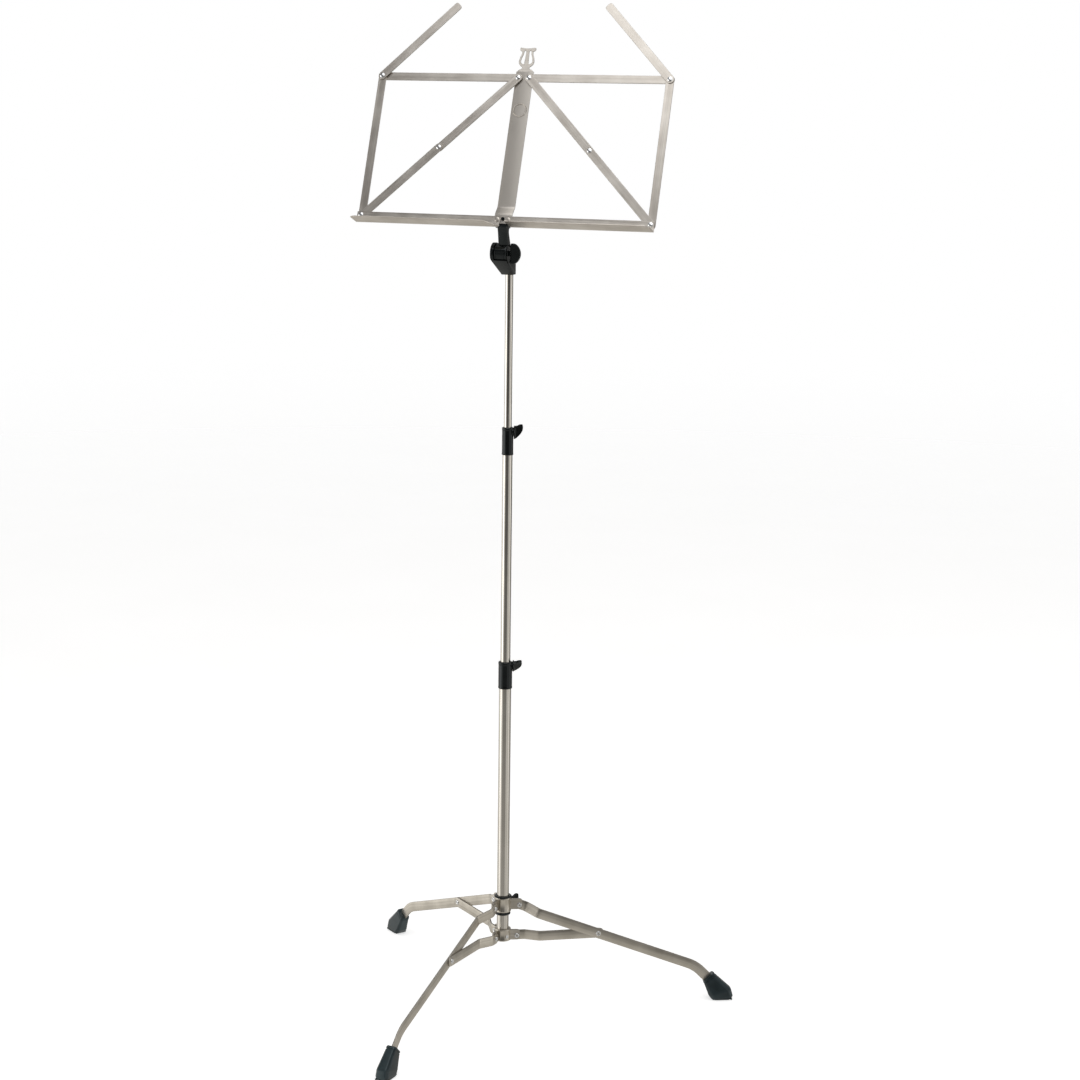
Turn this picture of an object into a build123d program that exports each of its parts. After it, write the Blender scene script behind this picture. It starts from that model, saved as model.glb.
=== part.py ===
import os
from math import atan2, cos, degrees, hypot, radians, sin, tan

from build123d import *

os.makedirs("parts", exist_ok=True)

# ---- driving dimensions, millimetres ----
# The pole stands off the frame's origin, so that the whole stand's box is centred on it.
pole_x = -25.5
pole_y = 64.8
leg_count = 3
leg_angle = 24.1

# telescopic pole
lower_tube_radius = 9.5
lower_tube_bore = 8.2
lower_tube_bottom = 100.0
lower_tube_top = 541.0
middle_tube_radius = 7.75
middle_tube_bore = 6.5
middle_tube_bottom = 486.0
middle_tube_top = 908.0
upper_tube_radius = 6.0
upper_tube_bore = 5.0
upper_tube_bottom = 740.0
upper_tube_top = 1176.0
sliding_fit = 0.05

# clamps on the two telescopic joints
clamp_height = 41.0
lower_clamp_bottom = 513.0
upper_clamp_bottom = 881.0
lower_clamp_radius = 10.8
upper_clamp_radius = 8.7
clamp_screw_drop = 5.5
clamp_disc_radius = 11.0
clamp_disc_thickness = 3.6
clamp_stud_radius = 2.5

# tripod
hub_radius = 13.0
runner_bottom = 148.3
runner_top = 171.6
bush_radius = 11.5
bush_bottom = 143.2
bush_top = 174.2
leg_pivot_radius = 26.0
leg_pivot_height = 158.8
brace_pivot_radius = 22.4
brace_pivot_height = 108.0
knee_radius = 151.5
knee_height = 113.3
leg_width = 16.0
leg_thickness = 2.5
ear_thickness = 3.0
ear_side = -5.2
strip_side = -2.1
leg_side = -16.3
brace_side = -13.7
ankle_radius = 308.0
ankle_slope = 44.5
foot_side = -15.05
thumb_screw_angle = 56.0
thumb_screw_height = 164.5

# desk, in its own tilted plane
desk_height = 1236.8
desk_forward = 24.5
desk_tilt = 20.8
desk_half_width = 230.0
desk_rivet_height = 224.0
centre_rivet = 8.6
bar_width = 12.5
bar_thickness = 1.5
layer_gap = 0.1
rivet_radius = 2.5
rivet_head_radius = 4.2
diagonal_break = 0.5037
strip_half_width = 14.0
arm_length = 160.0
arm_angle = 46.0
ledge_thickness = 1.3
ledge_back = 6.4
ledge_front = 37.5
ledge_top = 5.6
ledge_bottom = -11.7
ledge_end = 236.0

# tilting head
tilt_back = -20.7
tilt_down = -43.5
barrel_radius = 13.0
barrel_left = -13.0
barrel_right = 6.5
cheek_radius = 16.0
cheek_left = -18.0
socket_radius = 7.55
socket_bottom = 1156.0
socket_top = 1179.0

tilt = radians(desk_tilt)
tilt_axis_forward = desk_forward + tilt_back * cos(tilt) - tilt_down * sin(tilt)
tilt_axis_height = desk_height + tilt_back * sin(tilt) + tilt_down * cos(tilt)

# the centre strip's foot stands just behind the ledge's webs, and the arm just behind the foot
foot_front = ledge_back - layer_gap
foot_back = foot_front - bar_thickness
arm_front = foot_back - layer_gap
ledge_face = ledge_back + ledge_thickness


def save(part, label):
    part.label = label
    export_step(part, f"parts/{label}.step")


def group(pieces):
    return Compound(children=list(pieces))


# ---- planes ----
def level(height):
    return Plane(origin=(pole_x, pole_y, height))


def leg_plane(index, side):
    """Upright plane beside a leg: local x runs outwards, local y is height."""
    turn = radians(leg_angle + index * 360 / leg_count)
    out = Vector(cos(turn), sin(turn), 0)
    across = Vector(-sin(turn), cos(turn), 0)
    start = Vector(pole_x, pole_y, 0) + across * side
    return Plane(origin=start, x_dir=out, z_dir=-across)


def leg_top_plane(index):
    """Level plane on the pole: local x runs outwards along a leg, local y is its side."""
    turn = radians(leg_angle + index * 360 / leg_count)
    out = Vector(cos(turn), sin(turn), 0)
    return Plane(origin=(pole_x, pole_y, 0), x_dir=out, z_dir=(0, 0, 1))


def desk_plane(layer):
    """Plane of the desk: local x to the right, local y up the desk, offset towards the reader."""
    start = Vector(pole_x, pole_y - desk_forward, desk_height)
    front = Vector(0, -cos(tilt), sin(tilt))
    return Plane(origin=start + front * layer, x_dir=(1, 0, 0), z_dir=front)


def desk_side_plane(right):
    """Section across the desk: local x towards the reader, local y up the desk."""
    start = Vector(pole_x + right, pole_y - desk_forward, desk_height)
    return Plane(origin=start, x_dir=(0, -cos(tilt), sin(tilt)), z_dir=(-1, 0, 0))


def head_side_plane(right):
    """Upright section through the pole: local x forwards, local y is height."""
    return Plane(origin=(pole_x + right, pole_y, 0), x_dir=(0, -1, 0), z_dir=(-1, 0, 0))


def layer_back(layer):
    return layer_gap + (layer - 1) * (bar_thickness + layer_gap)


# ---- telescopic pole ----
def make_tube(radius, bore, bottom, top):
    with BuildPart() as tube:
        with BuildSketch(level(bottom)):
            Circle(radius)
            Circle(bore, mode=Mode.SUBTRACT)
        extrude(amount=top - bottom)
        chamfer(tube.edges().filter_by(GeomType.CIRCLE).group_by(Axis.Z)[-1], 0.3)
    return tube.part


lower_tube = make_tube(lower_tube_radius, lower_tube_bore, lower_tube_bottom, lower_tube_top)
save(lower_tube, "lower_tube")
save(make_tube(middle_tube_radius, middle_tube_bore, middle_tube_bottom, middle_tube_top), "middle_tube")
save(make_tube(upper_tube_radius, upper_tube_bore, upper_tube_bottom, upper_tube_top), "upper_tube")


def clamp_screw_plane(height, start):
    """Plane facing out along a clamp screw: local x across, local y up."""
    turn = radians(leg_angle)
    out = Vector(cos(turn), sin(turn), 0)
    across = Vector(-sin(turn), cos(turn), 0)
    return Plane(origin=Vector(pole_x, pole_y, height) + out * start, x_dir=across, z_dir=out)


def make_clamp(radius, outer_tube, inner_tube, bottom, tube_top):
    """Plastic sleeve: it holds the outer tube and guides the inner one, with a screw boss."""
    top = bottom + clamp_height
    screw_height = top - clamp_screw_drop
    with BuildPart() as clamp:
        with BuildSketch(level(bottom)):
            Circle(radius)
        extrude(amount=clamp_height)
        fillet(clamp.edges().group_by(Axis.Z)[-1], 1.2)
        fillet(clamp.edges().group_by(Axis.Z)[0], 0.6)
        with BuildSketch(clamp_screw_plane(screw_height, 0)):
            Circle(7.5)
        extrude(amount=radius)
        with BuildSketch(level(bottom)):
            Circle(outer_tube)
        extrude(amount=tube_top - bottom, mode=Mode.SUBTRACT)
        with BuildSketch(level(bottom)):
            Circle(inner_tube + sliding_fit)
        extrude(amount=clamp_height + 10, mode=Mode.SUBTRACT)
        with BuildSketch(clamp_screw_plane(screw_height, 0)):
            Circle(clamp_stud_radius + sliding_fit)
        extrude(amount=radius + 1, mode=Mode.SUBTRACT)
    return clamp.part


save(
    make_clamp(
        lower_clamp_radius, lower_tube_radius, middle_tube_radius, lower_clamp_bottom, lower_tube_top
    ),
    "lower_clamp",
)
save(
    make_clamp(
        upper_clamp_radius, middle_tube_radius, upper_tube_radius, upper_clamp_bottom, middle_tube_top
    ),
    "upper_clamp",
)


def make_clamp_screw(radius, inner_tube, bottom, wing_turn):
    """Wing screw: a stud, a round flange and a single fin that sweeps to a tip."""
    height = bottom + clamp_height - clamp_screw_drop
    flange = radius + 0.1
    face = flange + clamp_disc_thickness
    with BuildPart() as screw:
        with BuildSketch(clamp_screw_plane(height, inner_tube + 0.4)):
            Circle(clamp_stud_radius)
        extrude(amount=flange - inner_tube)
        with BuildSketch(clamp_screw_plane(height, flange)):
            Circle(clamp_disc_radius)
        extrude(amount=clamp_disc_thickness)
        fillet(screw.edges().filter_by(GeomType.CIRCLE).sort_by(SortBy.RADIUS)[-1], 0.5)
        turn = radians(leg_angle)
        out = Vector(cos(turn), sin(turn), 0)
        across = Vector(-sin(turn), cos(turn), 0)
        up = Vector(0, 0, 1) * cos(radians(wing_turn)) - across * sin(radians(wing_turn))
        side = out.cross(up)
        start = Vector(pole_x, pole_y, height) + out * face + side * -2.25
        with BuildSketch(Plane(origin=start, x_dir=out, z_dir=side)):
            with BuildLine():
                Polyline((-1, 9.5), (8.5, 10.8), (10.2, 10.4), (10.6, 7.8))
                ThreePointArc((10.6, 7.8), (8.2, -1.2), (1.8, -9.0))
                Polyline((1.8, -9.0), (-1, -9.6), (-1, 9.5))
            make_face()
        extrude(amount=4.5)
    return screw.part


save(make_clamp_screw(lower_clamp_radius, middle_tube_radius, lower_clamp_bottom, 38), "lower_clamp_screw")
save(make_clamp_screw(upper_clamp_radius, upper_tube_radius, upper_clamp_bottom, 0), "upper_clamp_screw")


# ---- tripod hubs ----
def make_hub(bore, bottom, top, pivot_radius, pivot_height, reach, ear_bottom, ear_top):
    """Pressed steel collar with one flat ear for each strip."""
    with BuildPart() as hub:
        with BuildSketch(level(bottom)):
            Circle(hub_radius)
        extrude(amount=top - bottom)
        for index in range(leg_count):
            with BuildSketch(leg_plane(index, ear_side + ear_thickness)):
                with Locations(((pivot_radius + reach) / 2, (ear_bottom + ear_top) / 2)):
                    RectangleRounded(pivot_radius + reach, ear_top - ear_bottom, 3.5)
            extrude(amount=ear_thickness)
        with BuildSketch(level(bottom)):
            Circle(bore)
        extrude(amount=top - bottom, mode=Mode.SUBTRACT)
        for index in range(leg_count):
            with BuildSketch(leg_plane(index, ear_side + ear_thickness)):
                with Locations((pivot_radius, pivot_height)):
                    Circle(rivet_radius)
            extrude(amount=ear_thickness, mode=Mode.SUBTRACT)
    return hub.part


def make_lower_hub():
    plain = make_hub(
        lower_tube_radius, 100.5, 119.5, brace_pivot_radius, brace_pivot_height, 5.0, 101.0, 118.0
    )
    with BuildPart() as hub:
        add(plain)
        with BuildSketch(pin_plane()):
            Circle(2.2)
        extrude(amount=hub_radius, mode=Mode.SUBTRACT)
    return hub.part


def pin_plane():
    """Plane facing out between two ears, where the hub is pinned to the tube."""
    turn = radians(leg_angle - 60)
    return Plane(origin=(pole_x, pole_y, brace_pivot_height), z_dir=(cos(turn), sin(turn), 0))


def make_hub_pin():
    with BuildPart() as pin:
        with BuildSketch(pin_plane().offset(lower_tube_radius + 0.4)):
            Circle(2.2)
        extrude(amount=hub_radius - lower_tube_radius + 0.4)
        with BuildSketch(pin_plane().offset(hub_radius)):
            Circle(1.1)
        extrude(amount=2, mode=Mode.SUBTRACT)
    return pin.part


save(make_lower_hub(), "lower_hub")
save(make_hub_pin(), "lower_hub_pin")


def thumb_screw_plane(start):
    turn = radians(thumb_screw_angle)
    out = Vector(cos(turn), sin(turn), 0)
    return Plane(origin=Vector(pole_x, pole_y, thumb_screw_height) + out * start, z_dir=out)


def make_runner_hub():
    plain = make_hub(
        bush_radius, runner_bottom, runner_top, leg_pivot_radius, leg_pivot_height, 4.6, 151.8, 169.4
    )
    with BuildPart() as hub:
        add(plain)
        with BuildSketch(thumb_screw_plane(0)):
            Circle(2.05)
        extrude(amount=hub_radius + 1, mode=Mode.SUBTRACT)
    return hub.part


def make_runner_bush():
    """Plastic glide between the runner and the tube, flanged at both ends."""
    with BuildPart() as bush:
        with BuildSketch(level(bush_bottom)):
            Circle(bush_radius)
        extrude(amount=bush_top - bush_bottom)
        with BuildSketch(level(runner_top)):
            Circle(13.9)
        extrude(amount=bush_top - runner_top)
        fillet(bush.edges().filter_by(GeomType.CIRCLE).group_by(Axis.Z)[-1], 0.8)
        with BuildSketch(level(bush_bottom)):
            Circle(12.2)
        extrude(amount=3.0)
        with BuildSketch(level(bush_bottom)):
            Circle(lower_tube_radius + sliding_fit)
        extrude(amount=40, mode=Mode.SUBTRACT)
        with BuildSketch(thumb_screw_plane(0)):
            Circle(2.05)
        extrude(amount=hub_radius + 1, mode=Mode.SUBTRACT)
    return bush.part


def make_runner_screw():
    """Small thumb screw that locks the runner on the tube."""
    with BuildPart() as screw:
        with BuildSketch(thumb_screw_plane(lower_tube_radius + 0.4)):
            Circle(2.0)
        extrude(amount=8)
        with BuildSketch(thumb_screw_plane(14.5)):
            Circle(4.2)
        extrude(amount=4.5)
        with BuildSketch(thumb_screw_plane(18.0)):
            SlotOverall(15, 6.0, rotation=90)
        extrude(amount=11.5)
        fillet(screw.edges().group_by(Axis((0, 0, 0), thumb_screw_plane(0).z_dir))[-1], 1.0)
    return screw.part


save(make_runner_hub(), "runner_hub")
save(make_runner_bush(), "runner_bush")
save(make_runner_screw(), "runner_screw")


def eyelet(plane, place, head_radius, head_height):
    """Round rivet head with a dimple, standing on a face."""
    with BuildPart() as head:
        with BuildSketch(plane):
            with Locations(place):
                Circle(head_radius)
        extrude(amount=head_height)
        fillet(head.faces().sort_by(Axis(plane.origin, plane.z_dir))[-1].edges(), head_height * 0.6)
        with BuildSketch(plane.offset(head_height)):
            with Locations(place):
                Circle(head_radius * 0.34)
        extrude(amount=-head_height * 0.6, mode=Mode.SUBTRACT)
    return head.part


def make_ear_rivet(index, pivot_radius, pivot_height):
    """Rivet through a hub's ear and the strip beside it."""
    place = (pivot_radius, pivot_height)
    near = leg_plane(index, ear_side)
    far_side = strip_side + leg_thickness + 0.1
    far = Plane(origin=leg_plane(index, far_side).origin, x_dir=near.x_dir, z_dir=-near.z_dir)
    mirrored = (pivot_radius, -pivot_height)
    with BuildPart() as rivet:
        with BuildSketch(near.offset(-(far_side - ear_side))):
            with Locations(place):
                Circle(rivet_radius)
        extrude(amount=far_side - ear_side)
        add(eyelet(near, place, 3.9, 1.6))
        add(eyelet(far, mirrored, 3.9, 1.6))
    return rivet.part


save(
    group(make_ear_rivet(index, leg_pivot_radius, leg_pivot_height) for index in range(leg_count)),
    "runner_rivets",
)
save(
    group(make_ear_rivet(index, brace_pivot_radius, brace_pivot_height) for index in range(leg_count)),
    "lower_hub_rivets",
)


# ---- legs, braces and feet ----
def strip_plan(start, joggle, reach, side, thickness):
    """Plan of a flat strip that steps sideways from the hub's ear to its own track."""
    near = strip_side
    return [
        (start, near),
        (joggle, near),
        (joggle + 24, side),
        (reach, side),
        (reach, side + thickness),
        (joggle + 24, side + thickness),
        (joggle, near + thickness),
        (start, near + thickness),
    ]


leg_slope = atan2(leg_pivot_height - knee_height, knee_radius - leg_pivot_radius)
ankle_height = leg_pivot_height - (ankle_radius - leg_pivot_radius) * tan(leg_slope)
toe_radius = 345.0
ankle_drop = (toe_radius - ankle_radius) * tan(radians(ankle_slope))
toe_height = ankle_height - ankle_drop


def make_leg(index):
    """Flat leg: it steps sideways off the ear, runs straight and bends down into its foot."""
    with BuildPart() as leg:
        with BuildSketch(leg_plane(index, strip_side + leg_thickness)):
            with BuildLine() as spine:
                FilletPolyline(
                    (leg_pivot_radius, leg_pivot_height),
                    (ankle_radius, ankle_height),
                    (toe_radius, toe_height),
                    radius=26,
                )
            trace(line_width=leg_width)
            with Locations((leg_pivot_radius, leg_pivot_height)):
                Circle(leg_width / 2)
                Circle(rivet_radius + sliding_fit, mode=Mode.SUBTRACT)
        extrude(amount=strip_side + leg_thickness - leg_side)
        with BuildSketch(leg_top_plane(index)):
            Polygon(*strip_plan(0, 38, toe_radius + 20, leg_side, leg_thickness), align=None)
        extrude(amount=leg_pivot_height + 40, mode=Mode.INTERSECT)
    return leg.part


def make_brace(index):
    """Short strip from the lower hub's ear to the leg's knee."""
    run = knee_radius - brace_pivot_radius
    rise = knee_height - brace_pivot_height
    middle = (brace_pivot_radius + run / 2, brace_pivot_height + rise / 2, 0)
    with BuildPart() as brace:
        with BuildSketch(leg_plane(index, strip_side + leg_thickness)):
            with Locations(Location(middle, (0, 0, degrees(atan2(rise, run))))):
                SlotCenterToCenter(hypot(run, rise), leg_width)
            with Locations((brace_pivot_radius, brace_pivot_height)):
                Circle(rivet_radius + sliding_fit, mode=Mode.SUBTRACT)
        extrude(amount=strip_side + leg_thickness - brace_side)
        with BuildSketch(leg_top_plane(index)):
            Polygon(*strip_plan(0, 34, knee_radius + 20, brace_side, leg_thickness), align=None)
        extrude(amount=leg_pivot_height + 40, mode=Mode.INTERSECT)
    return brace.part


def make_foot(index, leg):
    """Rubber boot, wedge shaped, with a flat sole and a pocket for the leg."""
    outline = [(336.5, 45), (366, 17), (369, 6), (365, 0), (338, 0), (330.5, 8), (321.5, 31)]
    with BuildPart() as foot:
        with BuildSketch(leg_plane(index, foot_side + 10.5)):
            Polygon(*outline, align=None)
        extrude(amount=21)
        turn = radians(leg_angle + index * 360 / leg_count)
        out = Vector(cos(turn), sin(turn), 0)
        across = Vector(-sin(turn), cos(turn), 0)
        with BuildSketch(Plane(origin=Vector(pole_x, pole_y, 0) + out * 300, x_dir=across, z_dir=out)):
            with BuildLine():
                Polyline(
                    (foot_side - 9.5, 0),
                    (foot_side - 10.5, 5),
                    (foot_side - 7.6, 46),
                    (foot_side + 7.6, 46),
                    (foot_side + 10.5, 5),
                    (foot_side + 9.5, 0),
                    close=True,
                )
            make_face()
        extrude(amount=80, mode=Mode.INTERSECT)
        add(leg, mode=Mode.SUBTRACT)
    return foot.part


for index in range(leg_count):
    leg = make_leg(index)
    save(leg, f"leg_{index + 1}")
    save(make_foot(index, leg), f"foot_{index + 1}")
    save(make_brace(index), f"brace_{index + 1}")
    knee = (knee_radius, knee_height)
    save(eyelet(leg_plane(index, leg_side), knee, 3.9, 1.5), f"leg_rivet_{index + 1}")
    inner = leg_plane(index, brace_side + leg_thickness)
    turned = Plane(origin=inner.origin, x_dir=inner.x_dir, z_dir=-inner.z_dir)
    save(eyelet(turned, (knee_radius, -knee_height), 3.9, 1.5), f"brace_rivet_{index + 1}")


# ---- tilting head ----
def make_tilt_bracket():
    """Socket on the pole with one round cheek beside the barrel."""
    axis = (tilt_axis_forward, tilt_axis_height)
    middle = (socket_bottom + socket_top) / 2
    with BuildPart() as bracket:
        with BuildSketch(head_side_plane(socket_radius)):
            with Locations(axis):
                Circle(cheek_radius)
            with Locations((0, middle - 3)):
                Rectangle(2 * socket_radius, socket_top - socket_bottom - 6)
            make_hull()
        extrude(amount=socket_radius - cheek_left)
        with BuildSketch(head_side_plane(socket_radius + 1)):
            with Locations(axis):
                Circle(barrel_radius + 0.4)
            with Locations((axis[0], axis[1] + 12)):
                Rectangle(80, 44)
        extrude(amount=socket_radius + 1 - barrel_left + 0.1, mode=Mode.SUBTRACT)
        with BuildSketch(Plane(origin=(pole_x, pole_y, 0), x_dir=(1, 0, 0), z_dir=(0, -1, 0))):
            with BuildLine():
                Polyline(
                    (cheek_left, tilt_axis_height + 30),
                    (cheek_left, tilt_axis_height - 8),
                    (-9.5, socket_bottom),
                    (socket_radius, socket_bottom),
                    (socket_radius, tilt_axis_height + 30),
                    close=True,
                )
            make_face()
        extrude(amount=50, both=True, mode=Mode.INTERSECT)
        with BuildSketch(level(socket_bottom)):
            Circle(socket_radius)
        extrude(amount=socket_top - socket_bottom)
        with BuildSketch(head_side_plane(socket_radius + 1)):
            with Locations(axis):
                Circle(barrel_radius + 0.4)
        extrude(amount=socket_radius + 1 - barrel_left + 0.1, mode=Mode.SUBTRACT)
        with BuildSketch(level(socket_bottom)):
            Circle(upper_tube_radius + sliding_fit)
        extrude(amount=upper_tube_top - socket_bottom + 0.3, mode=Mode.SUBTRACT)
        with BuildSketch(head_side_plane(0)):
            with Locations(axis):
                Circle(clamp_stud_radius + sliding_fit)
        extrude(amount=40, mode=Mode.SUBTRACT)
    return bracket.part


def make_tilt_arm():
    """Barrel on the tilt axis with an arm up to the desk's foot."""
    with BuildPart() as arm:
        with BuildSketch(desk_side_plane(barrel_right)):
            with Locations((tilt_back, tilt_down)):
                Circle(barrel_radius)
        extrude(amount=barrel_right - barrel_left)
        fillet(arm.edges().filter_by(GeomType.CIRCLE), 0.8)
        with BuildSketch(desk_side_plane(barrel_right)):
            with BuildLine():
                Polyline(
                    (arm_front, 6.5),
                    (arm_front, -9.0),
                    (-1.0, -16.0),
                    (tilt_back + 9.0, tilt_down + 9.0),
                    (tilt_back - 4.0, tilt_down + 8.0),
                    (tilt_back - 3.0, tilt_down + 14),
                    (-9.5, -14.0),
                    (-6.5, 6.5),
                    close=True,
                )
            make_face()
        extrude(amount=barrel_right + 8.5)
        with BuildSketch(desk_side_plane(9)):
            with BuildLine():
                Polyline((arm_front, 6.5), (arm_front, -9.0), (-6.5, -9.0), (-6.5, 6.5), close=True)
            make_face()
        extrude(amount=9 + 14)
        with BuildSketch(desk_side_plane(barrel_right + 1)):
            with Locations((tilt_back, tilt_down)):
                Circle(clamp_stud_radius + sliding_fit)
        extrude(amount=barrel_right + 1 - barrel_left + 1, mode=Mode.SUBTRACT)
        with BuildSketch(desk_plane(arm_front)):
            with Locations((0, 1.6)):
                Circle(1.6)
        extrude(amount=-6, mode=Mode.SUBTRACT)
    return arm.part


def make_tilt_screw():
    """Stud through the barrel with a flat half-round wing."""
    axis = (tilt_axis_forward, tilt_axis_height)
    with BuildPart() as screw:
        with BuildSketch(head_side_plane(barrel_right + 5)):
            with Locations(axis):
                Circle(clamp_stud_radius)
        extrude(amount=barrel_right + 5 - cheek_left - 1)
        with BuildSketch(head_side_plane(barrel_right + 5)):
            with Locations(axis):
                Circle(4.2)
        extrude(amount=4.7)
        start = Plane(
            origin=(pole_x + barrel_right + 3.5, pole_y - tilt_axis_forward + 2.75, tilt_axis_height),
            x_dir=(1, 0, 0),
            z_dir=(0, -1, 0),
        )
        with BuildSketch(start):
            with BuildLine():
                Polyline((6.0, -15.0), (0.6, -15.0), (-0.6, -13.5), (-0.6, 13.5), (0.6, 15.0), (6.0, 15.0))
                ThreePointArc((6.0, 15.0), (15.6, 0), (6.0, -15.0))
            make_face()
        extrude(amount=5.5)
        fillet(screw.edges().filter_by(Axis.Y), 1.4)
    return screw.part


save(make_tilt_bracket(), "tilt_bracket")
save(make_tilt_arm(), "tilt_arm")
save(make_tilt_screw(), "tilt_screw")


# ---- desk ----
def make_bar(layer, start, end, holes):
    """Flat bar with round ends between two pivots of the desk."""
    run = end[0] - start[0]
    rise = end[1] - start[1]
    middle = ((start[0] + end[0]) / 2, (start[1] + end[1]) / 2, 0)
    with BuildPart() as bar:
        with BuildSketch(desk_plane(layer_back(layer))):
            with Locations(Location(middle, (0, 0, degrees(atan2(rise, run))))):
                SlotCenterToCenter(hypot(run, rise), bar_width)
            for place in holes:
                with Locations(place):
                    Circle(rivet_radius + sliding_fit, mode=Mode.SUBTRACT)
        extrude(amount=bar_thickness)
    return bar.part


def make_rivet(places, back, front):
    """Domed rivets standing through the desk's layers, from back to the face under each head."""
    def one(place):
        with BuildPart() as rivet:
            with BuildSketch(desk_plane(back)):
                with Locations(place):
                    Circle(rivet_radius)
            extrude(amount=front - back)
            with BuildSketch(desk_plane(front)):
                with Locations(place):
                    Circle(rivet_head_radius)
            extrude(amount=1.4)
            plane = desk_plane(front)
            fillet(rivet.faces().sort_by(Axis(plane.origin, plane.z_dir))[-1].edges(), 1.2)
        return rivet.part

    pieces = [one(place) for place in places]
    return pieces[0] if len(pieces) == 1 else group(pieces)


def make_centre_strip():
    """Wide centre strip: a lyre on top, an embossed ring and a stepped foot."""
    with BuildPart() as strip:
        with BuildSketch(desk_plane(-bar_thickness)):
            with BuildLine():
                Polyline(
                    (-strip_half_width, 20),
                    (-strip_half_width, 234.5),
                    (-10.5, 237.5),
                    (-5.6, 240.0),
                    (-5.6, 242.5),
                )
                Spline((-5.6, 242.5), (-11.2, 245.6), (-12.4, 250.0), (-8.8, 266.8))
                Polyline((-8.8, 266.8), (-11.6, 268.0), (-12.9, 270.4), (-11.9, 273.0), (0, 272.0))
                Polyline((0, 272.0), (11.9, 273.0), (12.9, 270.4), (11.6, 268.0), (8.8, 266.8))
                Spline((8.8, 266.8), (12.4, 250.0), (11.2, 245.6), (5.6, 242.5))
                Polyline(
                    (5.6, 242.5),
                    (5.6, 240.0),
                    (10.5, 237.5),
                    (strip_half_width, 234.5),
                    (strip_half_width, 20),
                    (-strip_half_width, 20),
                )
            make_face()
            for side in (-1, 1):
                with BuildLine():
                    Polyline((side * 2.6, 267.6), (side * 5.2, 267.6), (side * 9.4, 251.5))
                    Spline((side * 9.4, 251.5), (side * 8.6, 247.8), (side * 3.8, 246.4))
                    Line((side * 3.8, 246.4), (side * 2.6, 267.6))
                make_face(mode=Mode.SUBTRACT)
            with Locations((-centre_rivet, desk_rivet_height), (centre_rivet, desk_rivet_height)):
                Circle(rivet_radius, mode=Mode.SUBTRACT)
        extrude(amount=bar_thickness)
        with BuildSketch(desk_plane(0)):
            with Locations((0, 173.5)):
                Circle(10.8)
                Circle(9.3, mode=Mode.SUBTRACT)
        extrude(amount=0.5)
        with BuildSketch(desk_side_plane(strip_half_width)):
            with BuildLine():
                Polyline(
                    (-bar_thickness, 21.5),
                    (0, 21.5),
                    (foot_front, 9.5),
                    (foot_front, -5.5),
                    (foot_back, -5.5),
                    (foot_back, 9.2),
                    (-bar_thickness, 20.8),
                    close=True,
                )
            make_face()
        extrude(amount=2 * strip_half_width)
        with BuildSketch(desk_plane(0)):
            with Locations((-centre_rivet, 0), (centre_rivet, 0)):
                Circle(rivet_radius)
            with Locations((0, 1.6)):
                Circle(1.6)
        extrude(amount=10, mode=Mode.SUBTRACT)
    return strip.part


def make_foot_screw():
    with BuildPart() as screw:
        with BuildSketch(desk_plane(arm_front - 5)):
            with Locations((0, 1.6)):
                Circle(1.6)
        extrude(amount=foot_front - arm_front + 5)
        with BuildSketch(desk_plane(foot_front)):
            with Locations((0, 1.6)):
                Circle(2.7)
        extrude(amount=1.2)
    return screw.part


def make_ledge(side):
    """One half of the ledge: an upright web on the pivots and a shelf that carries the music."""
    inner = 14.0 if side > 0 else 4.5
    with BuildPart() as ledge:
        with BuildSketch(desk_side_plane(ledge_end if side > 0 else -inner)):
            with BuildLine():
                Polyline(
                    (ledge_back, ledge_top),
                    (ledge_back, ledge_bottom),
                    (ledge_front, ledge_bottom),
                    (ledge_front, ledge_bottom + ledge_thickness),
                    (ledge_face, ledge_bottom + ledge_thickness),
                    (ledge_face, ledge_top),
                    close=True,
                )
            make_face()
        extrude(amount=ledge_end - inner)
        with BuildSketch(desk_plane(ledge_back)):
            with Locations((side * centre_rivet / 2, 0)):
                Rectangle(centre_rivet, 2 * ledge_top)
        extrude(amount=ledge_thickness, mode=Mode.SUBTRACT)
        with BuildSketch(desk_plane(ledge_back)):
            with Locations((side * centre_rivet, 0)):
                Circle(ledge_top)
            with Locations((side * (centre_rivet + 8), 0)):
                Rectangle(16, 2 * ledge_top)
        extrude(amount=ledge_thickness)
        with BuildSketch(desk_plane(ledge_back)):
            with Locations((side * centre_rivet, 0), (side * desk_half_width, 0)):
                Circle(rivet_radius + sliding_fit)
        extrude(amount=ledge_thickness, mode=Mode.SUBTRACT)
        shelf_level = Plane(origin=desk_plane(0).origin, x_dir=(1, 0, 0), z_dir=desk_plane(0).y_dir)
        corner = (side * ledge_end, -ledge_front)
        with BuildSketch(shelf_level.offset(ledge_bottom - 1)):
            with BuildLine():
                Polyline(
                    corner,
                    (corner[0] - side * 9, corner[1]),
                    (corner[0] - side * 3, corner[1] + 2),
                    (corner[0], corner[1] + 6),
                    close=True,
                )
            make_face()
        extrude(amount=4, mode=Mode.SUBTRACT)
    return ledge.part


def make_page_arm(side):
    """Page holder: a bar from the top corner with a bevelled tip."""
    corner = Vector(side * desk_half_width, desk_rivet_height)
    lean = 180 - arm_angle if side > 0 else arm_angle
    with BuildPart() as arm:
        with BuildSketch(desk_plane(layer_back(3))):
            with Locations(Location((corner.X, corner.Y, 0), (0, 0, lean))):
                Circle(bar_width / 2)
                Rectangle(arm_length - 3, bar_width, align=(Align.MIN, Align.CENTER))
                with Locations((arm_length - 3, 0)):
                    Trapezoid(bar_width, 3, 55, align=(Align.CENTER, Align.MIN), rotation=-90)
                Circle(rivet_radius + sliding_fit, mode=Mode.SUBTRACT)
        extrude(amount=bar_thickness)
    return arm.part


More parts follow.
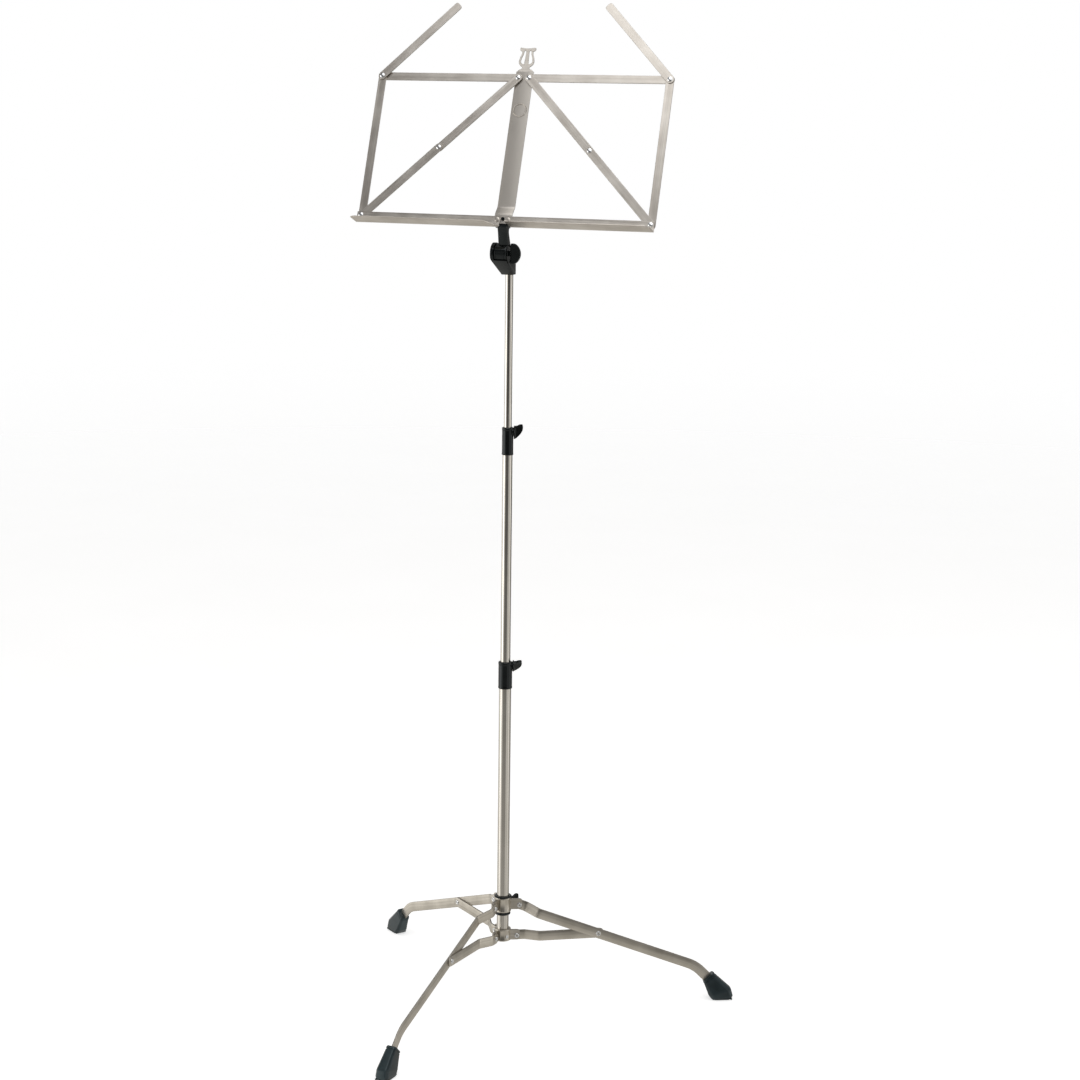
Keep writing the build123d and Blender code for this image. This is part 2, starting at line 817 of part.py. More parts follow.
save(make_centre_strip(), "centre_strip")
save(make_foot_screw(), "foot_screw")
top_pivots = [(-centre_rivet, desk_rivet_height), (centre_rivet, desk_rivet_height)]
save(make_rivet(top_pivots, -bar_thickness, layer_back(3)), "top_centre_rivets")
low_pivots = [(-centre_rivet, 0), (centre_rivet, 0)]
save(make_rivet(low_pivots, foot_back, ledge_face + layer_gap), "ledge_centre_rivets")

for name, side in (("left", -1), ("right", 1)):
    centre_top = (side * centre_rivet, desk_rivet_height)
    outer_top = (side * desk_half_width, desk_rivet_height)
    outer_low = (side * desk_half_width, 0)
    elbow = (
        centre_top[0] + (outer_low[0] - centre_top[0]) * diagonal_break,
        centre_top[1] + (outer_low[1] - centre_top[1]) * diagonal_break,
    )
    save(make_bar(1, centre_top, outer_top, [centre_top]), f"top_bar_{name}")
    save(make_bar(2, outer_top, outer_low, [outer_top]), f"side_bar_{name}")
    save(make_bar(2, centre_top, elbow, [centre_top]), f"diagonal_upper_{name}")
    save(make_bar(3, elbow, outer_low, [elbow]), f"diagonal_lower_{name}")
    save(make_page_arm(side), f"page_arm_{name}")
    save(make_ledge(side), f"ledge_{name}")
    save(make_rivet([outer_top], layer_back(1) + bar_thickness, layer_back(4)), f"corner_rivet_{name}")
    save(make_rivet([elbow], layer_back(2) + bar_thickness, layer_back(4)), f"diagonal_rivet_{name}")
    save(make_rivet([outer_low], ledge_back, ledge_face), f"ledge_rivet_{name}")
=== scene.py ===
from math import cos, pi, radians, sin, tan

import bmesh
import bpy
import numpy as np
from mathutils import Matrix, Vector
from mathutils.geometry import tessellate_polygon


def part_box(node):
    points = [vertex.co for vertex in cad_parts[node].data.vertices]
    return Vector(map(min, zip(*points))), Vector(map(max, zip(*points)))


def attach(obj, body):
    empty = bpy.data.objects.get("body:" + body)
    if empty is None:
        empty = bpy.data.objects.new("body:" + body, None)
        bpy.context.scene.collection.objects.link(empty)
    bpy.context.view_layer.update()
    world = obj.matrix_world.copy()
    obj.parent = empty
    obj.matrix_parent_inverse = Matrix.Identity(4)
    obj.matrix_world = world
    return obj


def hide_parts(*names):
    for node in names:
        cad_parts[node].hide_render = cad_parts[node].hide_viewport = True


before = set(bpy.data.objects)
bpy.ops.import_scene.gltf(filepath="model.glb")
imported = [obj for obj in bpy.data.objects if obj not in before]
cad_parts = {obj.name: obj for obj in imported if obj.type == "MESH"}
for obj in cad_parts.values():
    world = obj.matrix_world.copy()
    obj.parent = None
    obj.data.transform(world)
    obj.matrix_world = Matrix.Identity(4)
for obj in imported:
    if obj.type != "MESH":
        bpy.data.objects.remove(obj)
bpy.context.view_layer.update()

scene = bpy.context.scene
mm = 0.001

# the stand's own places, in millimetres; the pole's axis comes from the lower tube's box
tubeLow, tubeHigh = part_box("lower_tube")
pole = np.array([(tubeLow.x + tubeHigh.x) / 2, (tubeLow.y + tubeHigh.y) / 2, 0.0]) / mm
legAzimuth = 24.1
deskTilt = radians(20.8)
deskPlace = dict(forward=24.5, height=1236.8, halfWidth=230.0, rivetHeight=224.0, centreRivet=8.6)


def unit(rows):  # each row divided by its length
    return rows / np.linalg.norm(rows, axis=1)[:, None]


def makeFrame(origin, x, y, z):
    # an origin and three directions, kept as rows and scaled to length one
    rows = np.array([x, y, z], float)
    return dict(origin=np.array(origin, float), rows=unit(rows))


def outwards(azimuth):
    # (cos, sin) of the azimuth, and the same turned a quarter to the left
    a = radians(azimuth)
    return np.array([cos(a), sin(a), 0.0]), np.array([-sin(a), cos(a), 0.0])


def legFrame(index):  # x outwards along the leg, y its side, z up
    out, across = outwards(legAzimuth + 120 * index)
    return makeFrame(pole, out, across, (0, 0, 1))


def facing(azimuth, height, out=0.0):
    # on the pole's axis, or that far out from it: x across, y up, z outwards along the azimuth
    away, across = outwards(azimuth)
    return makeFrame(pole + (0, 0, height) + away * out, across, (0, 0, 1), away)


poleFrame = makeFrame(pole, (1, 0, 0), (0, 1, 0), (0, 0, 1))
deskFrame = makeFrame(
    pole + (0, -deskPlace["forward"], deskPlace["height"]),
    (1, 0, 0), (0, sin(deskTilt), cos(deskTilt)), (0, -cos(deskTilt), sin(deskTilt)),
)
tiltBack, tiltDown = -20.7, -43.5
tiltOrigin = deskFrame["origin"] + tiltBack * deskFrame["rows"][2] + tiltDown * deskFrame["rows"][1]
tiltFrame = makeFrame(tiltOrigin, (0, 0, 1), (0, -1, 0), (1, 0, 0))  # x up, y forwards, z along the axis


def shift(frameIn, offset):
    # the offset times the frame's directions is added to its origin
    moved = np.asarray(offset, float) @ frameIn["rows"]
    return dict(origin=frameIn["origin"] + moved, rows=frameIn["rows"])


def shell(local, frameIn, faces, rim=None, grain=None, slot=0):
    # points carried from the frame to the world, with two values for the finish:
    # rim is 1 along edges, where the finishes paint shade or highlight, and grain is the place that the drawn lines
    # follow
    local = np.asarray(local, float).reshape(-1, 3)
    world = (frameIn["origin"] + local @ frameIn["rows"]) * mm
    rim = np.zeros(len(local)) if rim is None else np.asarray(rim, float).reshape(-1)
    grain = local if grain is None else np.asarray(grain, float).reshape(-1, 3)
    return dict(co=world, faces=[list(f) for f in faces], rim=rim, grain=grain * mm, slot=slot)


def gridFaces(rows, columns, wrapRows=False, wrapColumns=False):
    # one quad per cell: a cell joins row i and i + 1, column j and j + 1
    i = np.arange(rows if wrapRows else rows - 1)
    j = np.arange(columns if wrapColumns else columns - 1)
    i, j = np.meshgrid(i, j, indexing="ij")
    iNext, jNext = (i + 1) % rows, (j + 1) % columns
    quads = np.stack([i * columns + j, i * columns + jNext, iNext * columns + jNext, iNext * columns + j], -1)
    return quads.reshape(-1, 4).tolist()


def inset(loop, distance):
    # each corner moves inwards along the mitre of its two edges' normals
    before, after = loop - np.roll(loop, 1, 0), np.roll(loop, -1, 0) - loop
    n1 = np.stack([-before[:, 1], before[:, 0]], -1) / (np.linalg.norm(before, axis=1)[:, None] + 1e-12)
    n2 = np.stack([-after[:, 1], after[:, 0]], -1) / (np.linalg.norm(after, axis=1)[:, None] + 1e-12)
    mitre = (n1 + n2) / np.maximum(1 + (n1 * n2).sum(1), 0.4)[:, None]
    return loop + distance * mitre


def plate(frameIn, loops, back, front, edge=0.35, steps=4, slot=0):
    # a flat sheet: its outline is carried up a quarter-round edge, a wall and a second quarter round,
    # and both faces are filled between the outline and its windows
    a = np.linspace(0, pi / 2, steps)
    insets = np.concatenate([[edge + 0.25], edge * (1 - np.cos(a[::-1])), edge * (1 - np.cos(a)), [edge + 0.25]])
    heights = np.concatenate([
        [back], back + edge * (1 - np.sin(a[::-1])), front - edge * (1 - np.sin(a)), [front]])
    # the rings of the rounded edges carry rim, where the finish paints shade or highlight
    rimOfRing = np.concatenate([[0], np.ones(2 * steps), [0]])
    points, faces, rims, start = [], [], [], 0
    capBack, capFront = [], []
    for loop in loops:
        loop = np.asarray(loop, float)
        if (turnsLeft(loop) < 0) != (start > 0):  # outlines run anticlockwise, windows clockwise
            loop = loop[::-1]
        rings = np.stack([np.column_stack([inset(loop, d), np.full(len(loop), h)])
                          for d, h in zip(insets, heights)])
        count = len(loop)
        faces += [[v + start for v in f] for f in gridFaces(len(insets), count, wrapColumns=True)]
        points.append(rings.reshape(-1, 3))
        rims.append(np.repeat(rimOfRing, count))
        capBack.append((start, rings[0]))
        capFront.append((start + (len(insets) - 1) * count, rings[-1]))
        start += len(insets) * count
    for cap in (capBack, capFront):
        index = np.concatenate([np.arange(len(p)) + s for s, p in cap])
        fill = tessellate_polygon([[Vector(p) for p in ring] for _, ring in cap])
        faces += [[int(index[v]) for v in f] for f in fill]
    return shell(np.concatenate(points), frameIn, faces, np.concatenate(rims), slot=slot)


def turned(frameIn, profile, count=64, wrap=False, slot=0, ripple=None, rim=None):
    # a profile of (radius, height) turned once about the frame's z; a radius of 0 closes the end
    profile = np.asarray(profile, float)
    angle = np.linspace(0, 2 * pi, count, endpoint=False)
    radius = profile[:, 0][:, None] * np.ones(count)
    if ripple is not None:
        radius = radius + ripple(profile, angle)
    height = np.repeat(profile[:, 1][:, None], count, 1)
    points = np.stack([radius * np.cos(angle), radius * np.sin(angle), height], -1)
    around = np.stack([height, radius.max() * np.repeat(angle[None, :], len(profile), 0), radius], -1)
    # rim, where given, marks profile points that the finish paints with edge shade or highlight
    rimAll = None if rim is None else np.repeat(np.asarray(rim, float), count)
    return shell(points, frameIn, gridFaces(len(profile), count, wrap, True), rimAll, around, slot)


def carried(frameIn, section, centre, wide, thick, widths, thicknesses, slot=0):
    # a closed section carried along a path: at each station it lies in the plane of two directions,
    # scaled to the station's width and thickness, and each end is closed by a fan
    centre, wide, thick = (np.asarray(v, float) for v in (centre, wide, thick))
    stations, count = len(centre), len(section)
    points = (centre[:, None, :] + section[None, :, 0, None] * (wide * widths[:, None])[:, None, :]
              + section[None, :, 1, None] * (thick * thicknesses[:, None])[:, None, :])
    along = np.concatenate([[0], np.cumsum(np.linalg.norm(np.diff(centre, axis=0), axis=1))])
    grain = np.stack([np.repeat(along[:, None], count, 1), section[None, :, 0] * widths[:, None],
                      section[None, :, 1] * thicknesses[:, None] + 0 * along[:, None]], -1)
    faces = gridFaces(stations, count, wrapColumns=True)
    faces += [[j, (j + 1) % count, stations * count] for j in range(count)]
    last = (stations - 1) * count
    faces += [[last + j, last + (j + 1) % count, stations * count + 1] for j in range(count)]
    points = np.concatenate([points.reshape(-1, 3), centre[:1], centre[-1:]])
    grain = np.concatenate([grain.reshape(-1, 3), [[0, 0, 0]], [[along[-1], 0, 0]]])
    # rim marks the section's two narrow sides, where the finish paints shade or highlight
    rim = np.concatenate([np.tile((np.abs(section[:, 0]) > 0.47).astype(float), stations), [0, 0]])
    return shell(points, frameIn, faces, rim, grain, slot)


def roundedSection(width, thick, radius, steps=4):
    # a unit-wide rounded rectangle: its corners keep their radius at the given width and thickness
    a = np.linspace(0, pi / 2, steps)
    corners = []
    for quarter, (sx, sy) in enumerate([(1, 1), (-1, 1), (-1, -1), (1, -1)]):
        t = a + quarter * pi / 2
        corners.append(np.stack([sx * (width / 2 - radius) + radius * np.cos(t),
                                 sy * (thick / 2 - radius) + radius * np.sin(t)], -1))
    return np.concatenate(corners) / (width, thick)


def filletLoop(corners, radii, steps=6):
    # each corner is replaced by a quadratic curve between two points on its edges
    corners = np.asarray(corners, float)
    radii = np.broadcast_to(radii, len(corners))
    before, after = np.roll(corners, 1, 0), np.roll(corners, -1, 0)
    b, a = before - corners, after - corners
    lb, la = np.linalg.norm(b, axis=1), np.linalg.norm(a, axis=1)
    reach = np.minimum(radii, 0.48 * np.minimum(lb, la))[:, None]
    p0, p2 = corners + b / lb[:, None] * reach, corners + a / la[:, None] * reach
    t = np.linspace(0, 1, steps)[None, :, None]
    return ((1 - t) ** 2 * p0[:, None] + 2 * t * (1 - t) * corners[:, None] + t ** 2 * p2[:, None]).reshape(-1, 2)


def slotLoop(start, end, radius, steps=17):
    # two half circles about the ends of a bar
    start, end = np.array(start, float), np.array(end, float)
    heading = np.arctan2(*(end - start)[::-1])
    a = np.linspace(-pi / 2, pi / 2, steps) + heading
    ring = np.stack([np.cos(a), np.sin(a)], -1) * radius
    return np.concatenate([end + ring, start - ring])


def turnsLeft(loop):  # twice the signed area: positive when the loop runs anticlockwise
    x, y = np.asarray(loop, float).T
    return float(np.sum(x * np.roll(y, -1) - y * np.roll(x, -1)))


def paint(mesh, *finishes):
    mesh.materials.clear()
    for finish in finishes:
        mesh.materials.append(finish)


def placed(name, data):
    # a new object at the origin, unturned: its place is in its mesh
    made = bpy.data.objects.new(name, data)
    scene.collection.objects.link(made)
    return made


def makePiece(name, shells, finishes, body, node=None, sharp=38):
    # the shells in one mesh, doubles merged, faces turned outwards, and smooth up to the sharp angle;
    # the node it stands for is its own name up to the dot, unless another is given
    finishes = finishes if isinstance(finishes, (list, tuple)) else [finishes]
    starts = np.concatenate([[0], np.cumsum([len(s["co"]) for s in shells])])
    mesh = bpy.data.meshes.new(name)
    faces = [[v + int(start) for v in f] for s, start in zip(shells, starts) for f in s["faces"]]
    mesh.from_pydata(np.concatenate([s["co"] for s in shells]).tolist(), [], faces)
    which = np.concatenate([np.full(len(s["faces"]), s["slot"]) for s in shells])
    mesh.polygons.foreach_set("material_index", which.astype(np.int32))
    rim = mesh.attributes.new("rim", "FLOAT", "POINT")
    rim.data.foreach_set("value", np.concatenate([s["rim"] for s in shells]).astype(np.float32))
    grain = mesh.attributes.new("grain", "FLOAT_VECTOR", "POINT")
    grain.data.foreach_set("vector", np.concatenate([s["grain"] for s in shells]).astype(np.float32).ravel())
    work = bmesh.new()
    work.from_mesh(mesh)
    bmesh.ops.remove_doubles(work, verts=work.verts, dist=1e-6)
    bmesh.ops.dissolve_degenerate(work, edges=work.edges, dist=1e-7)
    bmesh.ops.recalc_face_normals(work, faces=work.faces)
    work.to_mesh(mesh)
    work.free()
    mesh.polygons.foreach_set("use_smooth", np.ones(len(mesh.polygons), bool))
    mesh.set_sharp_from_angle(angle=radians(sharp))
    paint(mesh, *finishes)
    piece = placed(name, mesh)
    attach(piece, body)
    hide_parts(node or name.split(".")[0])
    return piece


def nodeMaker(tree):
    # makes one shader node: an input that is a socket is linked, any other is its value
    def add(kind, inputs=(), **settings):
        node = tree.nodes.new("ShaderNode" + kind)
        for key, value in settings.items():
            setattr(node, key, value)
        for socket, value in dict(inputs).items():
            if isinstance(value, bpy.types.NodeSocket):
                tree.links.new(value, node.inputs[socket])
            else:
                node.inputs[socket].default_value = value
        return node

    return add


def nodesOf(name):
    # a new material and its shader; add makes a node, and feed links or sets one of the shader's inputs
    material = bpy.data.materials.new(name)
    material.use_nodes = True
    tree = material.node_tree
    shader = next(n for n in tree.nodes if n.type == "BSDF_PRINCIPLED")

    def feed(socket, value):
        if isinstance(value, bpy.types.NodeSocket):
            tree.links.new(value, shader.inputs[socket])
        else:
            shader.inputs[socket].default_value = value

    return material, shader, nodeMaker(tree), feed


def ramp(add, factor, stops):
    # colour runs straight from one stop to the next
    node = add("ValToRGB", {"Fac": factor})
    node.color_ramp.elements[0].position, node.color_ramp.elements[0].color = stops[0][0], (*stops[0][1], 1)
    node.color_ramp.elements[1].position, node.color_ramp.elements[1].color = stops[-1][0], (*stops[-1][1], 1)
    for place, colour in stops[1:-1]:
        node.color_ramp.elements.new(place).color = (*colour, 1)
    return node.outputs["Color"]


def spread(add, factor, low, high):
    # a straight line from low, where the factor is 0, to high, where it is 1
    return add("MapRange", {"Value": factor, "To Min": low, "To Max": high}).outputs["Result"]


def noise(add, place, scale, detail, **more):
    return add("TexNoise", {"Vector": place, "Scale": scale, "Detail": detail, **more}).outputs["Fac"]


def total(add, first, second):
    return add("Math", {0: first, 1: second}, operation="ADD").outputs[0]


def platedSteel(name, dark, light, rough, grainSize, bump=0.06, edgeWearAndPaintedLight=0.5):
    # fine lines drawn along the piece, cloudy patches in the plating, and edges that are rougher from rubbing and
    # darkened with painted shade
    material, shader, add, feed = nodesOf(name)
    place = add("Attribute", attribute_name="grain").outputs["Vector"]
    stretched = add("Mapping", {"Vector": place, "Scale": grainSize}).outputs["Vector"]
    lines = noise(add, stretched, 1.0, 5.0, Roughness=0.6)
    clouds = noise(add, place, 26.0, 3.0)
    specks = noise(add, place, 900.0, 2.0)
    rim = add("Attribute", attribute_name="rim").outputs["Fac"]
    mean = add("Math", {0: total(add, lines, clouds), 1: 0.5}, operation="MULTIPLY").outputs[0]
    tone = ramp(add, mean, [(0.40, dark), (0.60, light)])
    # rim edges are mixed to one flat darker tone: painted shade along the edges
    paintedEdgeShade = add("Mix", {0: rim, 6: tone, 7: tuple(c * (1 - 0.3 * edgeWearAndPaintedLight) for c in light) + (1,)},
                   data_type="RGBA")
    feed("Base Color", paintedEdgeShade.outputs[2])
    patchy = total(add, spread(add, lines, rough - 0.07, rough + 0.09), spread(add, clouds, -0.04, 0.05))
    feed("Roughness", total(add, patchy, spread(add, rim, 0.0, 0.08 * edgeWearAndPaintedLight)))
    feed("Metallic", 1.0)
    fine = total(add, lines, spread(add, specks, 0, 0.06))
    feed("Normal", add("Bump", {"Height": fine, "Strength": bump, "Distance": 0.0002}).outputs["Normal"])
    return material


def mouldedBlack(name, dark, light, rough, specular, pebble=0.12, pebbleSize=1800.0, edgeWearAndPaintedLight=0.5, gloss=0.0):
    # a dark moulding: fine pebbled skin, cloudy gloss, and edges paled with a painted highlight
    material, shader, add, feed = nodesOf(name)
    place = add("TexCoord").outputs["Object"]
    skin = noise(add, place, pebbleSize, 2.0)
    clouds = noise(add, place, 70.0, 4.0)
    rim = add("Attribute", attribute_name="rim").outputs["Fac"]
    tone = ramp(add, clouds, [(0.35, dark), (0.68, light)])
    # rim edges are mixed towards a pale tone: a painted highlight along the edges
    edge = add("Mix", {0: spread(add, rim, 0, edgeWearAndPaintedLight), 6: tone, 7: tuple(c * 1.9 for c in light) + (1,)},
               data_type="RGBA")
    feed("Base Color", edge.outputs[2])
    feed("Roughness", spread(add, clouds, rough - 0.06, rough + 0.08))
    feed("Specular IOR Level", specular)
    feed("Specular Tint", (0.80, 0.93, 1.0, 1))
    feed("Coat Weight", gloss)
    feed("Coat Roughness", 0.06)
    feed("Normal", add("Bump", {"Height": skin, "Strength": pebble, "Distance": 0.0003}).outputs["Normal"])
    return material


# grainSize is how many features a metre holds along the piece and across it
deskNickel = platedSteel("deskNickel", dark=(0.59, 0.545, 0.49), light=(0.77, 0.725, 0.665), rough=0.3,
                         grainSize=(7.0, 430.0, 430.0), bump=0.05, edgeWearAndPaintedLight=1.2)
legNickel = platedSteel("legNickel", dark=(0.54, 0.505, 0.44), light=(0.74, 0.695, 0.62), rough=0.35,
                        grainSize=(6.0, 430.0, 430.0), bump=0.07, edgeWearAndPaintedLight=1.2)
tubeNickel = platedSteel("tubeNickel", dark=(0.63, 0.60, 0.55), light=(0.70, 0.67, 0.62), rough=0.12,
                         grainSize=(2.0, 500.0, 500.0), bump=0.0)
brightRivet = platedSteel("brightRivet", dark=(0.80, 0.81, 0.82), light=(0.92, 0.93, 0.94), rough=0.15,
                          grainSize=(300.0, 300.0, 300.0), bump=0.02, edgeWearAndPaintedLight=0.1)
blackNylon = mouldedBlack("blackNylon", dark=(0.0022, 0.0027, 0.0026), light=(0.0045, 0.0056, 0.0056), rough=0.16,
                          specular=0.22, pebble=0.01, gloss=0.35)
bootRubber = mouldedBlack("bootRubber", dark=(0.008, 0.0145, 0.0165), light=(0.015, 0.025, 0.028), rough=0.33,
                          specular=0.5, pebble=0.14, pebbleSize=1300.0, gloss=0.25)
# the discs in the bottoms of the rivets' holes: painted shade where the hole is dark inside
paintedHoleShade = mouldedBlack("paintedHoleShade", dark=(0.004, 0.004, 0.004), light=(0.008, 0.008, 0.008), rough=0.6,
                          specular=0.2)
print("finishes made")


# pole: three tubes with eased ends, in millimetres above the floor; lip is how far an end is eased
tubes = dict(
    lower_tube=dict(body="base", radius=9.5, bore=8.2, low=100.0, high=541.0, lip=0.5),
    middle_tube=dict(body="middle", radius=7.75, bore=6.5, low=486.0, high=908.0, lip=0.4),
    upper_tube=dict(body="upper", radius=6.0, bore=5.0, low=740.0, high=1176.0, lip=0.4),
)
for name, t in tubes.items():
    r, b, e = t["radius"], t["bore"], t["lip"]
    heights = np.linspace(t["low"] + 2, t["high"] - 2, 40)
    profile = [(b + e * 0.5, t["low"]), (r - e, t["low"]), (r - 0.3 * e, t["low"] + 0.3 * e), (r, t["low"] + e)]
    profile += [(r, h) for h in heights]
    profile += [(r, t["high"] - e), (r - 0.3 * e, t["high"] - 0.3 * e), (r - e, t["high"]), (b, t["high"]),
                (b, t["low"] + 1)]
    makePiece(name + ".skin", [turned(poleFrame, profile, 72, wrap=True)], tubeNickel, t["body"])
print("pole made")


clamps = dict(
    lower=dict(body="base", radius=10.8, outer=9.5, inner=7.75, low=513.0, tubeTop=541.0, wingTurn=38),
    upper=dict(body="middle", radius=8.7, outer=7.75, inner=6.0, low=881.0, tubeTop=908.0, wingTurn=0),
)
clampShape = dict(height=41.0, collar=1.6, screwDrop=5.5, seamTurn=-20, seamHeight=0.22, seamWidth=0.09, flutes=14,
                  fluteDepth=0.35, ribs=4, ribStep=2.6)
for name, c in clamps.items():
    r, low = c["radius"], c["low"]
    top = low + clampShape["height"] + clampShape["collar"]
    sleeve = [(c["outer"] + 0.05, low), (r - 0.5, low), (r + 0.15, low + 0.5), (r + 0.25, low + 1.2),
              (r + 0.25, low + 2.6), (r, low + 3.1)]
    sleeve += [(r, h) for h in np.linspace(low + 4, top - 5, 12)]
    sleeve += [(r, top - 4.0), (r + 0.2, top - 3.5), (r + 0.25, top - 1.5), (r - 0.15, top - 0.5), (r - 0.9, top),
               (c["inner"] + 1.0, top), (c["inner"] + 0.15, top - 0.7), (c["inner"] + 0.05, c["tubeTop"]),
               (c["outer"] + 0.05, c["tubeTop"])]

    def seams(profile, angle):  # two low parting ridges where the mould's halves meet
        fromSeam = np.angle(np.exp(2j * (angle - radians(clampShape["seamTurn"]))))
        ridge = np.exp(-(fromSeam / clampShape["seamWidth"]) ** 2) * clampShape["seamHeight"]
        return ridge[None, :] * (profile[:, 0] >= r - 0.01)[:, None]

    out, across = outwards(legAzimuth)
    screwHeight = low + clampShape["height"] - clampShape["screwDrop"]
    face = facing(legAzimuth, screwHeight)
    boss = [(0, r - 3), (6.6, r - 3), (6.6, r - 0.4), (6.2, r + 0.05), (2.8, r + 0.05), (2.6, r - 1), (0, r - 1)]
    makePiece(name + "_clamp.body", [turned(poleFrame, sleeve, 96, wrap=True, ripple=seams),
                                     turned(face, boss, 48)], blackNylon, c["body"])
    flange = r + 0.15
    disc = [(0, flange), (7.0, flange), (8.0, flange + 0.3), (8.9, flange + 0.9), (9.2, flange + 1.5),
            (8.9, flange + 2.2), (7.8, flange + 2.8), (4, flange + 3.1), (0, flange + 3.2)]

    def knurl(profile, angle):  # shallow finger flutes round the disc's edge
        flute = 0.5 - 0.5 * np.cos(angle * clampShape["flutes"])
        return -clampShape["fluteDepth"] * flute[None, :] * (profile[:, 0] > 8.5)[:, None]

    turn = radians(c["wingTurn"])
    up = np.array([0, 0, 1]) * cos(turn) - across * sin(turn)
    wing = makeFrame(pole + (0, 0, screwHeight) + out * (flange + 3.5), out, up, np.cross(out, up))
    leaf = filletLoop([(-3.1, 9.0), (1.8, 9.2), (5.6, 11.4), (10.4, 11.6), (11.0, 7.6), (10.4, 2.6), (8.2, -1.8),
                       (4.6, -6.0), (-0.6, -10.4), (-3.1, -10.8)], [0.5, 2, 2, 2, 2, 3, 3, 3, 1.2, 0.5])
    # a raised border and fine ribs stand a little proud of the wing's two faces
    hollow = [(0.4, 6.6), (3.2, 6.9), (6.4, 8.6), (8.8, 8.5), (9.0, 6.6), (8.4, 2.9), (6.4, -0.8), (3.6, -4.4),
              (0.4, -7.2)]
    ribs = [plate(wing, [leaf, filletLoop(hollow, 1.2, 4)], -2.6, 2.6, 0.45)]
    for k in range(clampShape["ribs"]):
        drop = clampShape["ribStep"] * k
        ribs.append(plate(wing, [slotLoop((0.2, 5.4 - drop), (8.9 - 0.55 * k * k, 6.9 - drop), 0.28, 5)],
                          -2.45, 2.45, 0.15, 3))
    stud = [(0, c["inner"] + 0.4), (2.5, c["inner"] + 0.4), (2.5, flange + 1), (0, flange + 1)]
    makePiece(name + "_clamp_screw.wing",
              [turned(face, stud, 24), turned(face, disc, 84, ripple=knurl), plate(wing, [leaf], -2.25, 2.25, 1.0)]
              + ribs, blackNylon, name + "_clamp_screw")
print("clamps made")


# tripod: places as (outwards, up) from the pole's foot; each strip steps sideways between two distances
tripod = dict(legPivot=(26.0, 158.8), bracePivot=(22.4, 108.0), knee=(151.5, 113.3), width=16.0, thick=2.5,
              nearSide=-0.85, legSide=-15.05, braceSide=-12.45, ankle=308.0, toe=345.0, ankleSlope=44.5,
              legStep=(36, 56), braceStep=(34, 58), braceEnd=9.2)
legSlope = (tripod["legPivot"][1] - tripod["knee"][1]) / (tripod["knee"][0] - tripod["legPivot"][0])
ankleHeight = tripod["legPivot"][1] - (tripod["ankle"] - tripod["legPivot"][0]) * legSlope
toeHeight = ankleHeight - (tripod["toe"] - tripod["ankle"]) * tan(radians(tripod["ankleSlope"]))


def pathThrough(corners, radii, spacing=2.0):
    # straight runs joined by quadratic bends, sampled evenly along their length
    corners = np.asarray(corners, float)
    pieces = [corners[0]]
    for i in range(1, len(corners) - 1):
        b, a = corners[i - 1] - corners[i], corners[i + 1] - corners[i]
        p0 = corners[i] + b / np.linalg.norm(b) * radii[i - 1]
        p2 = corners[i] + a / np.linalg.norm(a) * radii[i - 1]
        t = np.linspace(0, 1, 15)[:, None]
        pieces.append((1 - t) ** 2 * p0 + 2 * t * (1 - t) * corners[i] + t ** 2 * p2)
    pieces.append(corners[-1])
    line = np.vstack(pieces)
    length = np.concatenate([[0], np.cumsum(np.linalg.norm(np.diff(line, axis=0), axis=1))])
    even = np.arange(0, length[-1], spacing)
    even = np.append(even, length[-1])
    return np.stack([np.interp(even, length, line[:, k]) for k in range(line.shape[1])], -1), even


def rampStep(x, low, high, soft=2.2):
    # a straight ramp from 0 to 1 whose two corners are averaged over a short length
    offsets = np.linspace(-soft, soft, 9)
    return np.clip((x[:, None] + offsets[None, :] - low) / (high - low), 0, 1).mean(1)


def strip(frameIn, line, sideFrom, sideTo, step, startRound, endRound, width, thick):
    # a flat strip standing on edge: it follows the line, steps sideways once, and has round ends
    line, _ = pathThrough(line, [12.0] * (len(line) - 2), 1.5)
    if startRound:
        d = (line[1] - line[0]) / np.linalg.norm(line[1] - line[0])
        fine = width / 2 * np.sin(np.linspace(-pi / 2, 0, 14))[:, None]
        line = np.vstack([line[0] + d * fine[:-1], line])
    if endRound:
        d = (line[-1] - line[-2]) / np.linalg.norm(line[-1] - line[-2])
        fine = endRound * np.sin(np.linspace(0, pi / 2, 14))[:, None]
        line = np.vstack([line, line[-1] + d * fine[1:]])
    side = sideFrom + (sideTo - sideFrom) * rampStep(line[:, 0], *step)
    centre = np.stack([line[:, 0], side, line[:, 1]], -1)
    tangent = unit(np.gradient(centre, axis=0))
    flat = unit(np.gradient(line, axis=0))
    wide = np.stack([-flat[:, 1], 0 * flat[:, 0], flat[:, 0]], -1)
    thickDir = unit(np.cross(tangent, wide))
    run = np.concatenate([[0], np.cumsum(np.linalg.norm(np.diff(line, axis=0), axis=1))])
    widths = np.full(len(line), width)
    if startRound:
        d = np.clip(width / 2 - run, 0, None)
        widths = np.minimum(widths, 2 * np.sqrt(np.maximum((width / 2) ** 2 - d ** 2, 0.02)))
    if endRound:
        d = np.clip(run - (run[-1] - endRound), 0, None) / endRound
        widths = np.minimum(widths, width * np.maximum(1 - d ** 2.4, 1e-4) ** (1 / 2.4) + 0.05)
    return carried(frameIn, roundedSection(width, thick, 0.55), centre, wide, thickDir, widths,
                   np.full(len(line), thick))


